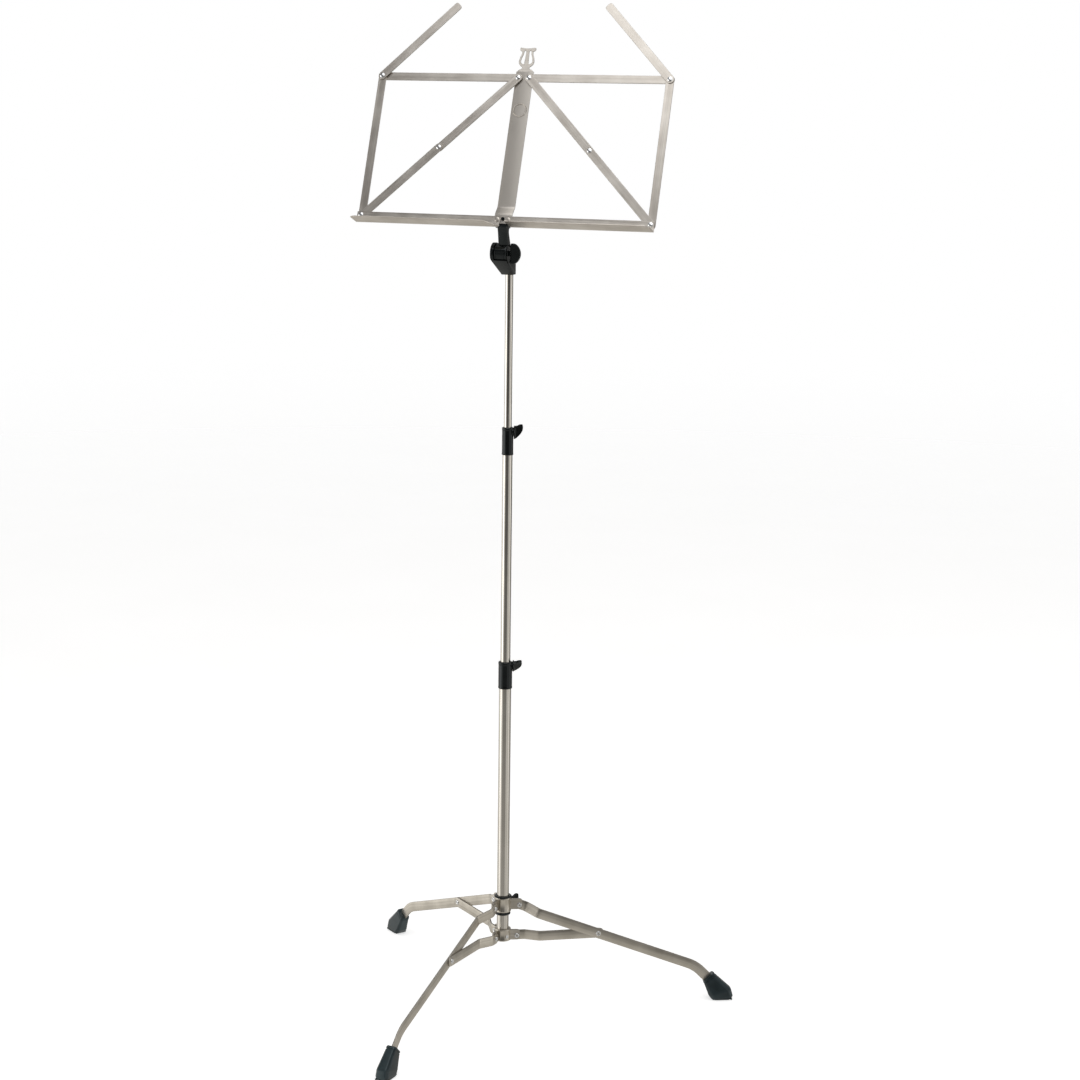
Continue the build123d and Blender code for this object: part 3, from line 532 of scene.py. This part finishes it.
def eyelet(frameIn, radius=3.9, height=1.35, hole=1.5):
    # a rolled hollow rivet: the profile goes up, over a round lip and down into the hole
    a = np.linspace(pi, 0, 10)
    middle, bulge = (radius + hole) / 2, (radius - hole) / 2
    lip = np.stack([middle - bulge * np.cos(a), height * 0.35 + height * 0.65 * np.sin(a)], -1)
    ring = np.vstack([[(0, -0.2)], [(radius, -0.2)], lip, [(hole, -0.9), (0, -0.9)]])
    # a dark disc in the hole's bottom, in the second slot, is painted shade
    paintedShadePit = [(0, -0.85), (hole - 0.02, -0.85), (hole - 0.02, -0.3), (hole - 0.3, -0.45), (0, -0.5)]
    return [turned(frameIn, ring, 40), turned(frameIn, paintedShadePit, 24, slot=1)]


def sideFrame(index, place, side, turn):  # on a leg's plane, z along the leg's side axis
    base = legFrame(index)
    out, across, up = base["rows"]
    origin = base["origin"] + out * place[0] + across * side + up * place[1]
    return makeFrame(origin, out, -up * turn, across * turn)


for i in range(3):
    leg, t = legFrame(i), tripod
    near, far = t["nearSide"], t["legSide"]
    legStrip = strip(leg, [t["legPivot"], (t["ankle"], ankleHeight), (t["toe"], toeHeight)], near, far,
                     t["legStep"], True, 0, t["width"], t["thick"])
    makePiece(f"leg_{i + 1}.strip", [legStrip], legNickel, f"leg_{i + 1}")
    braceStrip = strip(leg, [t["bracePivot"], t["knee"]], near, t["braceSide"], t["braceStep"], True, t["braceEnd"],
                       t["width"], t["thick"])
    makePiece(f"brace_{i + 1}.strip", [braceStrip], legNickel, f"brace_{i + 1}")
    outer = sideFrame(i, t["knee"], far - t["thick"] / 2, -1)
    inner = sideFrame(i, t["knee"], t["braceSide"] + t["thick"] / 2, 1)
    makePiece(f"leg_{i + 1}.rivet", eyelet(outer), [brightRivet, paintedHoleShade], f"leg_{i + 1}",
              f"leg_rivet_{i + 1}")
    makePiece(f"brace_{i + 1}.rivet", eyelet(inner), [brightRivet, paintedHoleShade], f"brace_{i + 1}",
              f"brace_rivet_{i + 1}")
print("legs made")


# a boot: rounded sections set between a front line and a heel line, from the mouth down to the sole
boot = dict(front=[(336.5, 45.0), (351.4, 31.6), (366.6, 17.6), (369.6, 7.0), (366.6, 0.6)],
            heel=[(321.5, 31.0), (326.0, 19.5), (330.5, 8.0), (334.5, 2.5), (337.5, 0.6)],
            widths=[16.0, 18.4, 21.4, 21.8, 20.4], knots=[0, 0.33, 0.68, 0.86, 1.0], side=-15.05,
            mouthAt=[0, 0.004, 0.02, 0.07, 0.076, 0.084, 0.098, 0.106],
            mouthPull=[-1.1, -0.2, 0.35, 0.35, -0.35, -0.55, -0.45, 0],
            soleAt=[0.915, 0.922, 0.932, 0.94, 0.975, 0.99, 1.0], solePull=[0, -0.5, -0.5, 0.25, 0.25, -0.2, -0.9],
            studs=((366.4, 1), (338.5, -1)), studSide=8.2, studHeight=2.3)


def makeBoot(index):
    # t runs from 0 at the mouth to 1 at the sole; pull swells or narrows the section at the lip and the sole
    b = boot
    t = np.concatenate([b["mouthAt"], np.linspace(0.13, 0.90, 26), b["soleAt"]])
    front = np.stack([np.interp(t, b["knots"], [p[k] for p in b["front"]]) for k in (0, 1)], -1)
    heel = np.stack([np.interp(t, b["knots"], [p[k] for p in b["heel"]]) for k in (0, 1)], -1)
    width = np.interp(t, b["knots"], b["widths"])
    pull = np.interp(t, b["mouthAt"] + b["soleAt"], b["mouthPull"] + b["solePull"])
    centre = (front + heel) / 2
    reach = front - heel
    long = np.linalg.norm(reach, axis=1)
    direction = reach / long[:, None]
    corner = [(0.5, 0.5 - 0.17), (0.5 - 0.14, 0.5)]  # a clipped corner, in shares of the section
    turns = [((1, 1), corner), ((-1, 1), corner[::-1]), ((-1, -1), corner), ((1, -1), corner[::-1])]
    ring = [(x * sx, y * sy) for (sx, sy), pair in turns for x, y in pair]
    section = filletLoop(ring, 0.05, 5)
    centre3 = np.stack([centre[:, 0], np.full(len(t), b["side"]), centre[:, 1]], -1)
    wide = np.stack([direction[:, 0], 0 * t, direction[:, 1]], -1)
    across = np.tile([0.0, 1.0, 0.0], (len(t), 1))
    body = carried(legFrame(index), section, centre3, wide, across, long + 2 * pull, width + 2 * pull)
    # small studs at the sole's corners
    dome = [(0, -0.4), (1.7, -0.4), (1.7, 0.6), (1.4, 1.5), (0.8, 2.0), (0, 2.1)]
    out, across, up = legFrame(index)["rows"]
    studs = []
    for along, slant in b["studs"]:
        for sideways in (-b["studSide"], b["studSide"]):
            spot = legFrame(index)["origin"] + out * along + across * (b["side"] + sideways) + up * b["studHeight"]
            aim = out * slant + across * np.sign(sideways) * 0.8 - up * 0.2
            aim /= np.linalg.norm(aim)
            first = np.cross(aim, up)
            studs.append(turned(makeFrame(spot, first, np.cross(aim, first), aim), dome, 20))
    return [body] + studs


for i in range(3):
    makePiece(f"foot_{i + 1}.boot", makeBoot(i), bootRubber, f"leg_{i + 1}", sharp=34)
print("boots made")


# hubs: the fixed one at the pole's foot and the one that runs on the pole, each with three ears
hubs = dict(
    lower=dict(body="base", node="lower_hub", rivets="lower_hub_rivets", low=100.5, high=119.5, radius=13.0,
               bore=9.5, pivot=(22.4, 108.0), reach=5.0, ear=(101.0, 118.0)),
    runner=dict(body="runner", node="runner_hub", rivets="runner_rivets", low=148.3, high=171.6, radius=13.0,
                bore=11.5, pivot=(26.0, 158.8), reach=4.6, ear=(151.8, 169.4)),
)
earSide, earThick = -5.2, 3.0
for name, h in hubs.items():
    r, low, high = h["radius"], h["low"], h["high"]
    ring = [(h["bore"], low), (r - 0.5, low), (r - 0.15, low + 0.15), (r, low + 0.6), (r, low + 2.6),
            (r - 0.25, low + 3.0), (r - 0.25, high - 3.0), (r, high - 2.6), (r, high - 0.6),
            (r - 0.15, high - 0.15), (r - 0.5, high), (h["bore"], high)]
    shells = [turned(poleFrame, ring, 72, wrap=True)]
    rivets = []
    for i in range(3):
        ear = makeFrame(pole, legFrame(i)["rows"][0], (0, 0, 1), -legFrame(i)["rows"][1])
        x1, (y0, y1) = h["pivot"][0] + h["reach"], h["ear"]
        outline = filletLoop([(4, y0), (x1, y0), (x1, y1), (4, y1)], [0.5, 5.0, 5.0, 0.5])
        shells.append(plate(ear, [outline], -(earSide + earThick), -earSide, 0.4))
        rivets += eyelet(sideFrame(i, h["pivot"], earSide, -1))
        rivets += eyelet(sideFrame(i, h["pivot"], tripod["nearSide"] + tripod["thick"] / 2 + 0.05, 1))
    makePiece(h["node"] + ".collar", shells, legNickel, h["body"])
    makePiece(h["node"] + ".rivets", rivets, [brightRivet, paintedHoleShade], h["body"], h["rivets"])

pin = dict(azimuth=legAzimuth - 60, height=108.0, out=13.05)
makePiece("lower_hub_pin.rolled", eyelet(facing(**pin), 2.7, 0.7, 1.5), [brightRivet, paintedHoleShade], "base")

bush = [(9.55, 143.2), (11.4, 143.2), (12.1, 143.7), (12.3, 144.6), (12.1, 145.6), (11.5, 146.1), (11.2, 146.8),
        (11.4, 148.2), (11.4, 171.7), (13.1, 171.7), (13.8, 172.1), (14.0, 172.9), (13.7, 173.7), (12.9, 174.2),
        (10.4, 174.3), (9.75, 174.0), (9.55, 173.2)]
makePiece("runner_bush.glide", [turned(poleFrame, bush, 72, wrap=True)], blackNylon, "runner")
thumbScrew = dict(azimuth=56.0, height=164.5, paddleHalf=2.3)
knobFrame = facing(thumbScrew["azimuth"], thumbScrew["height"])
knobOut = knobFrame["rows"][2]
knob = [(0, 9.9), (2.0, 9.9), (2.0, 14.4), (3.9, 14.4), (4.3, 14.9), (4.3, 17.6), (3.7, 18.3), (3.0, 19.4), (0, 19.6)]
paddle = makeFrame(knobFrame["origin"], knobOut, (0, 0, 1), np.cross(knobOut, (0, 0, 1)))
paddleLoop = filletLoop([(17.5, -2.6), (20, -4.2), (25, -7.2), (29.2, -6.6), (29.6, 0), (29.2, 6.6), (25, 7.2),
                         (20, 4.2), (17.5, 2.6)], [0.6, 2, 2, 1.6, 2, 1.6, 2, 2, 0.6])
makePiece("runner_screw.knob", [turned(knobFrame, knob, 36),
                                plate(paddle, [paddleLoop], -thumbScrew["paddleHalf"], thumbScrew["paddleHalf"], 1.0)],
          blackNylon, "runner_screw")
print("hubs made")


# desk: flat bars in layers; breakAt is the share of a diagonal at which its two halves meet
desk = dict(bar=12.5, thick=1.5, gap=0.1, breakAt=0.5037, stripHalf=14.0, armLength=160.0, armAngle=46.0,
            ledgeBack=6.4, ledgeThick=1.3, ledgeFront=37.5, ledgeTop=5.6, ledgeBottom=-11.7, ledgeEnd=236.0,
            ridges=(13.5, 20.0, 26.5, 33.0), ridgeHeight=0.5, ridgeWidth=0.9)
outerX, rivetY, innerX = deskPlace["halfWidth"], deskPlace["rivetHeight"], deskPlace["centreRivet"]
sides = ((-1, "left"), (1, "right"))


def layerBack(layer):
    # each layer lies one thickness and one gap in front of the last
    return desk["gap"] + (layer - 1) * (desk["thick"] + desk["gap"])


def sheet(frameIn, loop, layer):  # a plate in one of the desk's layers
    return plate(frameIn, [loop], layerBack(layer), layerBack(layer) + desk["thick"], 0.3)


def alongDesk(place, way):
    # the desk's frame at a place, turned about its normal until x runs the given way
    x, y, normal = deskFrame["rows"]
    return makeFrame(shift(deskFrame, (*place, 0))["origin"], way[0] * x + way[1] * y, -way[1] * x + way[0] * y,
                     normal)


def bar(layer, start, end):
    # a slot outline from one rivet to the next; x runs along the bar, so that the grain does too
    start, end = np.array(start, float), np.array(end, float)
    d = (end - start) / np.linalg.norm(end - start)
    loop = slotLoop((0, 0), (np.linalg.norm(end - start), 0), desk["bar"] / 2)
    return sheet(alongDesk(start, d), loop, layer)


def domeRivet(place, level, radius=4.1, height=1.5, shaft=3.0):
    # a low dome on a narrow flange, over a short neck
    a = np.linspace(0, pi / 2, 9)
    cap = np.stack([radius * 0.93 * np.cos(a), 0.35 + (height - 0.35) * np.sin(a)], -1)
    neck = [(0, -shaft), (2.5, -shaft), (2.5, 0), (radius - 0.1, 0), (radius, 0.12), (radius, 0.3)]
    profile = np.vstack([neck, cap])
    profile[-1, 0] = 0
    return turned(shift(deskFrame, (*place, level)), profile, 40)


for side, name in sides:
    inTop, outTop, outLow = (side * innerX, rivetY), (side * outerX, rivetY), (side * outerX, 0.0)
    elbow = tuple(np.array(inTop) + (np.array(outLow) - np.array(inTop)) * desk["breakAt"])
    for node, layer, a, b in (("top_bar", 1, inTop, outTop), ("side_bar", 2, outTop, outLow),
                              ("diagonal_upper", 2, inTop, elbow), ("diagonal_lower", 3, elbow, outLow)):
        makePiece(f"{node}_{name}.flat", [bar(layer, a, b)], deskNickel, f"{node}_{name}")
    makePiece(f"corner_rivet_{name}.dome", [domeRivet(outTop, layerBack(4), shaft=3.2)], brightRivet,
              f"top_bar_{name}")
    makePiece(f"diagonal_rivet_{name}.dome", [domeRivet(elbow, layerBack(4), 3.9, 1.4, 1.6)], brightRivet,
              f"diagonal_upper_{name}")
    makePiece(f"ledge_rivet_{name}.dome", [domeRivet(outLow, desk["ledgeBack"] + desk["ledgeThick"], shaft=1.2)],
              brightRivet, f"ledge_{name}")
    lean = radians(180 - desk["armAngle"]) if side > 0 else radians(desk["armAngle"])
    along = alongDesk(outTop, (cos(lean), sin(lean)))
    r, length = desk["bar"] / 2, desk["armLength"]
    a = np.linspace(pi / 2, 3 * pi / 2, 17)
    heel = np.stack([r * np.cos(a), r * np.sin(a)], -1)
    tip = np.array([(length - 3.2, -r), (length - 0.9, -r + 1.0), (length, -r + 3.2),
                    (length, r - 3.2), (length - 0.9, r - 1.0), (length - 3.2, r)])
    makePiece(f"page_arm_{name}.flat", [sheet(along, np.vstack([heel, tip]), 3)], deskNickel, f"page_arm_{name}")
makePiece("top_centre_rivets.domes", [domeRivet((s * innerX, rivetY), layerBack(3), 3.9, 1.4, 4.6) for s in (-1, 1)],
          brightRivet, "desk_centre")
ledgeFace = desk["ledgeBack"] + desk["ledgeThick"]
makePiece("ledge_centre_rivets.domes",
          [domeRivet((s * innerX, 0), ledgeFace + 0.1, 3.6, 0.7, 2.9) for s in (-1, 1)],
          deskNickel, "desk_centre")
print("bars made")

# centre strip: a wide flat band with a step at its foot, and a pierced lyre on top
footMid = desk["ledgeBack"] - desk["gap"] - desk["thick"] / 2
line, run = pathThrough([(-0.75, 234.5), (-0.75, 21.2), (footMid, 9.4), (footMid, -5.5)], [2.0, 2.0], 1.2)
tangent = unit(np.gradient(line, axis=0))
count, stripWide = len(line), 2 * desk["stripHalf"]
centre = np.stack([0 * run, line[:, 1], line[:, 0]], -1)
band = carried(deskFrame, roundedSection(stripWide, desk["thick"], 0.4), centre, np.tile([1.0, 0, 0], (count, 1)),
               np.stack([0 * run, -tangent[:, 0], tangent[:, 1]], -1), np.full(count, stripWide),
               np.full(count, desk["thick"]))
lyreHalf = [(0, 226), (13.6, 226), (13.9, 234.4), (10.5, 237.3), (6.4, 239.2), (5.4, 241.2), (8.6, 243.4),
            (11.4, 246.2), (12.5, 250.4), (11.4, 256.5), (9.2, 262.2), (8.6, 266.4), (11.6, 267.4), (13.0, 269.8),
            (12.4, 272.8), (8.5, 272.4), (4.0, 271.7)]
lyre = np.array(lyreHalf + [(0, 271.5)] + [(-x, y) for x, y in lyreHalf[:0:-1]])
window = [(2.4, 267.6), (5.6, 267.6), (6.2, 262.2), (8.6, 255.4), (9.3, 250.8), (8.2, 248.0), (3.6, 246.2),
          (2.9, 255.0)]
windows = [filletLoop(window, 0.8, 3), filletLoop([(-x, y) for x, y in window], 0.8, 3)]
crown = plate(deskFrame, [filletLoop(lyre, 1.2, 4)] + windows, -1.48, -0.02, 0.3)
badgeHeight = 173.5
badge = [(8.9, -0.1), (9.1, 0.4), (9.6, 0.9), (10.2, 0.9), (10.7, 0.4), (11.0, -0.1)]
# the ring's inner and outer feet carry rim, so its outline is darkened with painted shade
ring = turned(shift(deskFrame, (0, badgeHeight, 0)), badge, 64, wrap=True, rim=(1, 1, 0, 0, 1, 1))
makePiece("centre_strip.band", [band, crown, ring], deskNickel, "desk_centre")


# ledges: an angle section carried along the desk, with low ridges under the shelf and clipped corners
def ledge(side):
    d = desk
    back, face, front = d["ledgeBack"], ledgeFace, d["ledgeFront"]
    low, high, thick = d["ledgeBottom"], d["ledgeTop"], d["ledgeThick"]
    inner = d["stripHalf"] if side > 0 else 4.5
    w = np.linspace(face + 1.2, front - 0.8, 40)
    fromRidge = w[:, None] - np.array(d["ridges"])[None, :]
    ridges = d["ridgeHeight"] * np.exp(-((np.abs(fromRidge) / d["ridgeWidth"]) ** 2)).sum(1)
    bend = np.linspace(0, pi / 2, 7)
    under = np.stack([w, low - ridges + d["ridgeHeight"]], -1)
    over = np.stack([w[::-1], np.full(len(w), low + thick)], -1)
    rolled = [(front - 0.2, low + 0.3), (front, low + 0.65), (front - 0.2, low + thick - 0.1)]
    backBend = np.stack([back + 1.6 - 1.6 * np.cos(bend), low + 1.9 - 1.6 * np.sin(bend)], -1)
    inBend = np.stack([face + 0.7 - 0.7 * np.sin(bend), low + thick + 0.7 - 0.7 * np.cos(bend)], -1)
    web = [(face, high - 0.3), (face - 0.3, high), (back + 0.3, high), (back, high - 0.3)]
    section = np.vstack([backBend, under, rolled, over, inBend, web])
    stations = np.concatenate([inner + np.array([0, 0.3, 1.0]), np.linspace(inner + 2, d["ledgeEnd"] - 14, 60),
                               d["ledgeEnd"] - np.linspace(12, 0, 16)])
    fromEnd = d["ledgeEnd"] - stations
    limit = np.where(fromEnd < 9, front - 6.5 * (1 - np.sqrt(np.clip(fromEnd / 9, 0, 1))), front)
    if side < 0:
        limit = np.minimum(limit, face + 4 + (stations - inner) * 1.6)
    sideways = side * np.repeat(stations[:, None], len(section), 1)
    upwards = np.repeat(section[None, :, 1], len(stations), 0)
    points = np.stack([sideways, upwards, np.minimum(section[None, :, 0], limit[:, None])], -1)
    faces = gridFaces(len(stations), len(section), wrapColumns=True)
    for row in (0, len(stations) - 1):
        fill = tessellate_polygon([[Vector((p[2], p[1], 0)) for p in points[row]]])
        faces += [[row * len(section) + int(v) for v in f] for f in fill]
    body = shell(points, deskFrame, faces)
    hinge = plate(deskFrame, [slotLoop((side * innerX, 0), (side * (innerX + 14), 0), high)],
                  back + 0.02, face - 0.02, 0.3)
    return [body, hinge]


for side, name in sides:
    makePiece(f"ledge_{name}.angle", ledge(side), deskNickel, f"ledge_{name}")
print("desk made")


def softened(node, name, finish, width, body):
    # the node's own shape with its sharp edges rounded over
    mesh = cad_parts[node].data.copy()
    work = bmesh.new()
    work.from_mesh(mesh)
    bmesh.ops.remove_doubles(work, verts=work.verts, dist=2e-6)
    bmesh.ops.dissolve_limit(work, angle_limit=radians(2), verts=work.verts, edges=work.edges)
    work.to_mesh(mesh)
    work.free()
    paint(mesh, finish)
    mesh.polygons.foreach_set("use_smooth", np.ones(len(mesh.polygons), bool))
    piece = placed(name, mesh)
    soft = piece.modifiers.new("softEdges", "BEVEL")
    soft.width, soft.segments, soft.limit_method, soft.angle_limit = width * mm, 3, "ANGLE", radians(32)
    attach(piece, body)
    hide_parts(node)
    return piece


softened("tilt_bracket", "tilt_bracket.moulding", blackNylon, 0.6, "head")

armProfile = filletLoop([(4.7, 6.5), (4.7, -9.0), (-1.0, -16.0), (tiltBack + 9.0, tiltDown + 9.0),
                         (tiltBack - 4, tiltDown + 8), (tiltBack - 3, tiltDown + 14), (-9.5, -14.0),
                         (-6.5, 6.5)][::-1], [0.6, 3, 3, 2, 2, 3, 3, 0.6])
rows = deskFrame["rows"]
armFrame = makeFrame(deskFrame["origin"], rows[2], rows[1], -rows[0])  # x towards the reader, y up the desk
barrelEdge = np.linspace(0, pi / 2, 6)
barrelSize = 14.0
barrel = np.vstack([[(2.55, -13.0), (barrelSize - 1.4, -13.0)],
                    np.stack([barrelSize - 1.2 + 1.2 * np.sin(barrelEdge), -11.8 - 1.2 * np.cos(barrelEdge)], -1),
                    [(barrelSize, -10.2), (barrelSize - 0.45, -9.9), (barrelSize - 0.45, -9.3), (barrelSize, -9.0),
                     (barrelSize, 2.6), (barrelSize - 0.45, 2.9), (barrelSize - 0.45, 3.5), (barrelSize, 3.8)],
                    np.stack([barrelSize - 1.2 + 1.2 * np.cos(barrelEdge), 5.3 + 1.2 * np.sin(barrelEdge)], -1),
                    [(10.6, 6.5), (10.2, 6.0), (5.2, 6.0), (4.8, 6.5), (2.55, 6.5)]])
headBlock = filletLoop([(-6.5, 6.5), (-6.5, -9.0), (4.7, -9.0), (4.7, 6.5)], 0.8, 4)
makePiece("tilt_arm.moulding",
          [turned(tiltFrame, barrel, 72, wrap=True), plate(armFrame, [armProfile], -6.5, 8.5, 1.0),
           plate(armFrame, [headBlock], -9.0, 14.0, 0.8)],
          blackNylon, "desk_centre")
wingFrame = makeFrame(tiltOrigin, (1, 0, 0), (0, 0, 1), (0, -1, 0))
wingLoop = filletLoop([(10.2, -15.4), (16.4, -15.4), (21.6, -11.0), (24.6, -5.4), (25.4, 0), (24.6, 5.4), (21.6, 11.0),
                       (16.4, 15.4), (10.2, 15.4), (9.5, 13.4), (9.5, -13.4)], [1.0, 3, 3, 3, 3, 3, 3, 3, 1, 1, 1], 5)
screwStem = [(0, -17.0), (2.5, -17.0), (2.5, 6.8), (4.0, 6.8), (4.2, 7.2), (4.2, 11.0), (0, 11.5)]
nutEnd = [(0, -19.6), (3.4, -19.4), (4.4, -18.8), (4.8, -18.1), (0, -18.1)]
makePiece("tilt_screw.paddle", [turned(tiltFrame, screwStem, 36), turned(tiltFrame, nutEnd, 6),
                                plate(wingFrame, [wingLoop], -2.75, 2.75, 1.2)],
          blackNylon, "tilt_screw")
paint(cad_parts["foot_screw"].data, blackNylon)  # its own shape will do
print("head made")


# floor, in metres: it thins out between two distances, and glow lifts it to the white around it
floorShape = dict(inner=0.2, outer=14.0, drop=0.0002, fadeFrom=1.2, fadeTo=9.0, glow=0.62)


def makeFloor():
    # rings about the origin whose radii grow by a constant factor
    a = np.linspace(0, 2 * pi, 96, endpoint=False)
    radii = np.concatenate([[0.0], np.geomspace(floorShape["inner"], floorShape["outer"], 24)])
    points = np.stack([radii[:, None] * np.cos(a), radii[:, None] * np.sin(a),
                       0 * radii[:, None] * a - floorShape["drop"]], -1)
    mesh = bpy.data.meshes.new("floor")
    mesh.from_pydata(points.reshape(-1, 3).tolist(), [], gridFaces(len(radii), len(a), wrapColumns=True))
    material, shader, add, feed = nodesOf("paleFloor")
    tree = material.node_tree
    place = add("TexCoord").outputs["Object"]
    away = add("VectorMath", {0: place}, operation="LENGTH").outputs["Value"]
    fade = add("MapRange", {"Value": away, "From Min": floorShape["fadeFrom"],
                                      "From Max": floorShape["fadeTo"]}, interpolation_type="SMOOTHSTEP")
    clear = add("BsdfTransparent")
    mix = add("MixShader", {0: fade.outputs["Result"], 1: shader.outputs[0], 2: clear.outputs[0]})
    output = next(n for n in tree.nodes if n.type == "OUTPUT_MATERIAL")
    tree.links.new(mix.outputs[0], output.inputs["Surface"])
    mottle = noise(add, place, 3.0, 3.0)
    feed("Base Color", ramp(add, mottle, [(0.3, (0.84, 0.84, 0.835)), (0.7, (0.87, 0.87, 0.87))]))
    feed("Emission Color", (1, 1, 1, 1))
    feed("Emission Strength", floorShape["glow"])
    feed("Roughness", 0.75)
    feed("Specular IOR Level", 0.2)
    paint(mesh, material)
    floor = placed("floor", mesh)
    floor.visible_glossy = False


makeFloor()

# soft boxes: where each stands, what it faces, its size and the brightness of its cloth
lights = dict(
    deskBox=dict(place=(0.34, -0.83, 3.07), aim=(0.02, 0.04, 1.38), size=(2.2, 2.4), bright=1.5, roll=42),
    fillBox=dict(place=(2.6, 1.6, 2.6), aim=(0, 0, 0.7), size=(1.6, 1.6), bright=1.1, roll=0),
)
for name, l in lights.items():
    data = bpy.data.lights.new(name, "AREA")
    data.shape, data.size, data.size_y = "RECTANGLE", l["size"][0], l["size"][1]
    data.energy = l["bright"] * pi * l["size"][0] * l["size"][1]
    lamp = placed(name, data)
    place, aim = Vector(l["place"]), Vector(l["aim"])
    turn = (aim - place).to_track_quat("-Z", "Y").to_matrix().to_4x4()
    lamp.matrix_world = Matrix.Translation(place) @ turn @ Matrix.Rotation(radians(l["roll"]), 4, "Z")
    lamp.visible_camera = False

# the room as the stand sees it: bright cloths left and right, a dark gap in front, a paler ground below
room = dict(
    round=[(-180, 1.0), (-164, 0.95), (-159, 2.9), (-141, 2.9), (-136, 0.95), (-120, 0.9), (-108, 0.09), (-46, 0.07),
           (-36, 0.66), (6, 0.60), (11, 1.5), (20, 1.5), (25, 0.5), (34, 0.26), (44, 0.15), (90, 0.22), (120, 0.7),
           (180, 1.0)],
    ground=0.58, sky=0.17, zenith=0.62, groundFrom=-7.0, groundTo=-30.0, skyFrom=14.0, skyTo=32.0, zenithFrom=52.0,
    zenithTo=72.0,
)


def makeRoom():
    # tones by azimuth near the horizon, with ground, sky and zenith laid over them by height; plain white to the camera
    world = bpy.data.worlds.new("studio")
    world.use_nodes = True
    scene.world = world
    tree = world.node_tree
    node = nodeMaker(tree)

    def rise(low, high):  # 0 below one height of the line of sight, 1 above the other
        return node("MapRange", {"Value": way[2], "From Min": sin(radians(room[low])),
                                           "From Max": sin(radians(room[high]))},
                    interpolation_type="SMOOTHSTEP").outputs[0]

    def over(below, share, bright, green, blue):  # a plain tone laid over what is below it
        return node("Mix", {0: share, 6: below, 7: (bright, bright * green, bright * blue, 1)},
                    data_type="RGBA").outputs[2]

    way = node("SeparateXYZ", {0: node("TexCoord").outputs["Generated"]}).outputs
    around = node("Math", {0: way[1], 1: way[0]}, operation="ARCTAN2").outputs[0]
    part = node("MapRange", {"Value": around, "From Min": -pi, "From Max": pi}).outputs[0]
    bands = node("ValToRGB", {"Fac": part})
    stops = bands.color_ramp.elements
    for index, (angle, bright) in enumerate(room["round"]):
        stop = stops[index] if index < 2 else stops.new((angle + 180) / 360)
        stop.position, stop.color = (angle + 180) / 360, (bright, bright * 0.985, bright * 0.955, 1)
    ground = over(bands.outputs[0], rise("groundFrom", "groundTo"), room["ground"], 0.97, 0.91)
    sky = over(ground, rise("skyFrom", "skyTo"), room["sky"], 1.0, 1.02)
    whole = over(sky, rise("zenithFrom", "zenithTo"), room["zenith"], 0.98, 0.95)
    back = next(n for n in tree.nodes if n.type == "BACKGROUND")
    tree.links.new(whole, back.inputs["Color"])
    white = node("Background", {"Color": (1, 1, 1, 1)})
    mix = node("MixShader", {0: node("LightPath").outputs["Is Camera Ray"], 1: back.outputs[0],
                                       2: white.outputs[0]})
    output = next(n for n in tree.nodes if n.type == "OUTPUT_WORLD")
    tree.links.new(mix.outputs[0], output.inputs["Surface"])


makeRoom()
scene.view_settings.view_transform = "Standard"

# the camera: where it stands in metres, the turns of its line of sight in radians, and its lens
view = dict(place=(1.2192, -3.2848, 1.45196), azimuth=0.3558, yaw=0.0144, pitch=-0.1943, roll=0.0131, lens=78.82)


def cameraMatrix():
    # the line of sight first, then the roll about it, and last the turn about the vertical
    y, p, r = view["yaw"], view["pitch"], view["roll"]
    ahead = np.array([sin(y) * cos(p), cos(y) * cos(p), sin(p)])
    level = np.array([cos(y), -sin(y), 0.0])
    above = np.cross(level, ahead)
    right, up = cos(r) * level + sin(r) * above, -sin(r) * level + cos(r) * above
    a = view["azimuth"]
    turn = np.array([[cos(a), -sin(a), 0], [sin(a), cos(a), 0], [0, 0, 1]])
    matrix = np.eye(4)
    matrix[:3, 0], matrix[:3, 1], matrix[:3, 2] = turn @ right, turn @ up, -(turn @ ahead)
    matrix[:3, 3] = view["place"]
    return Matrix(matrix.tolist())


cameraData = bpy.data.cameras.new("camera")
cameraData.lens, cameraData.sensor_width = view["lens"], 36.0
cameraData.clip_start, cameraData.clip_end = 0.05, 60.0
camera = placed("camera", cameraData)
camera.matrix_world = cameraMatrix()
scene.camera = camera
print("camera set")
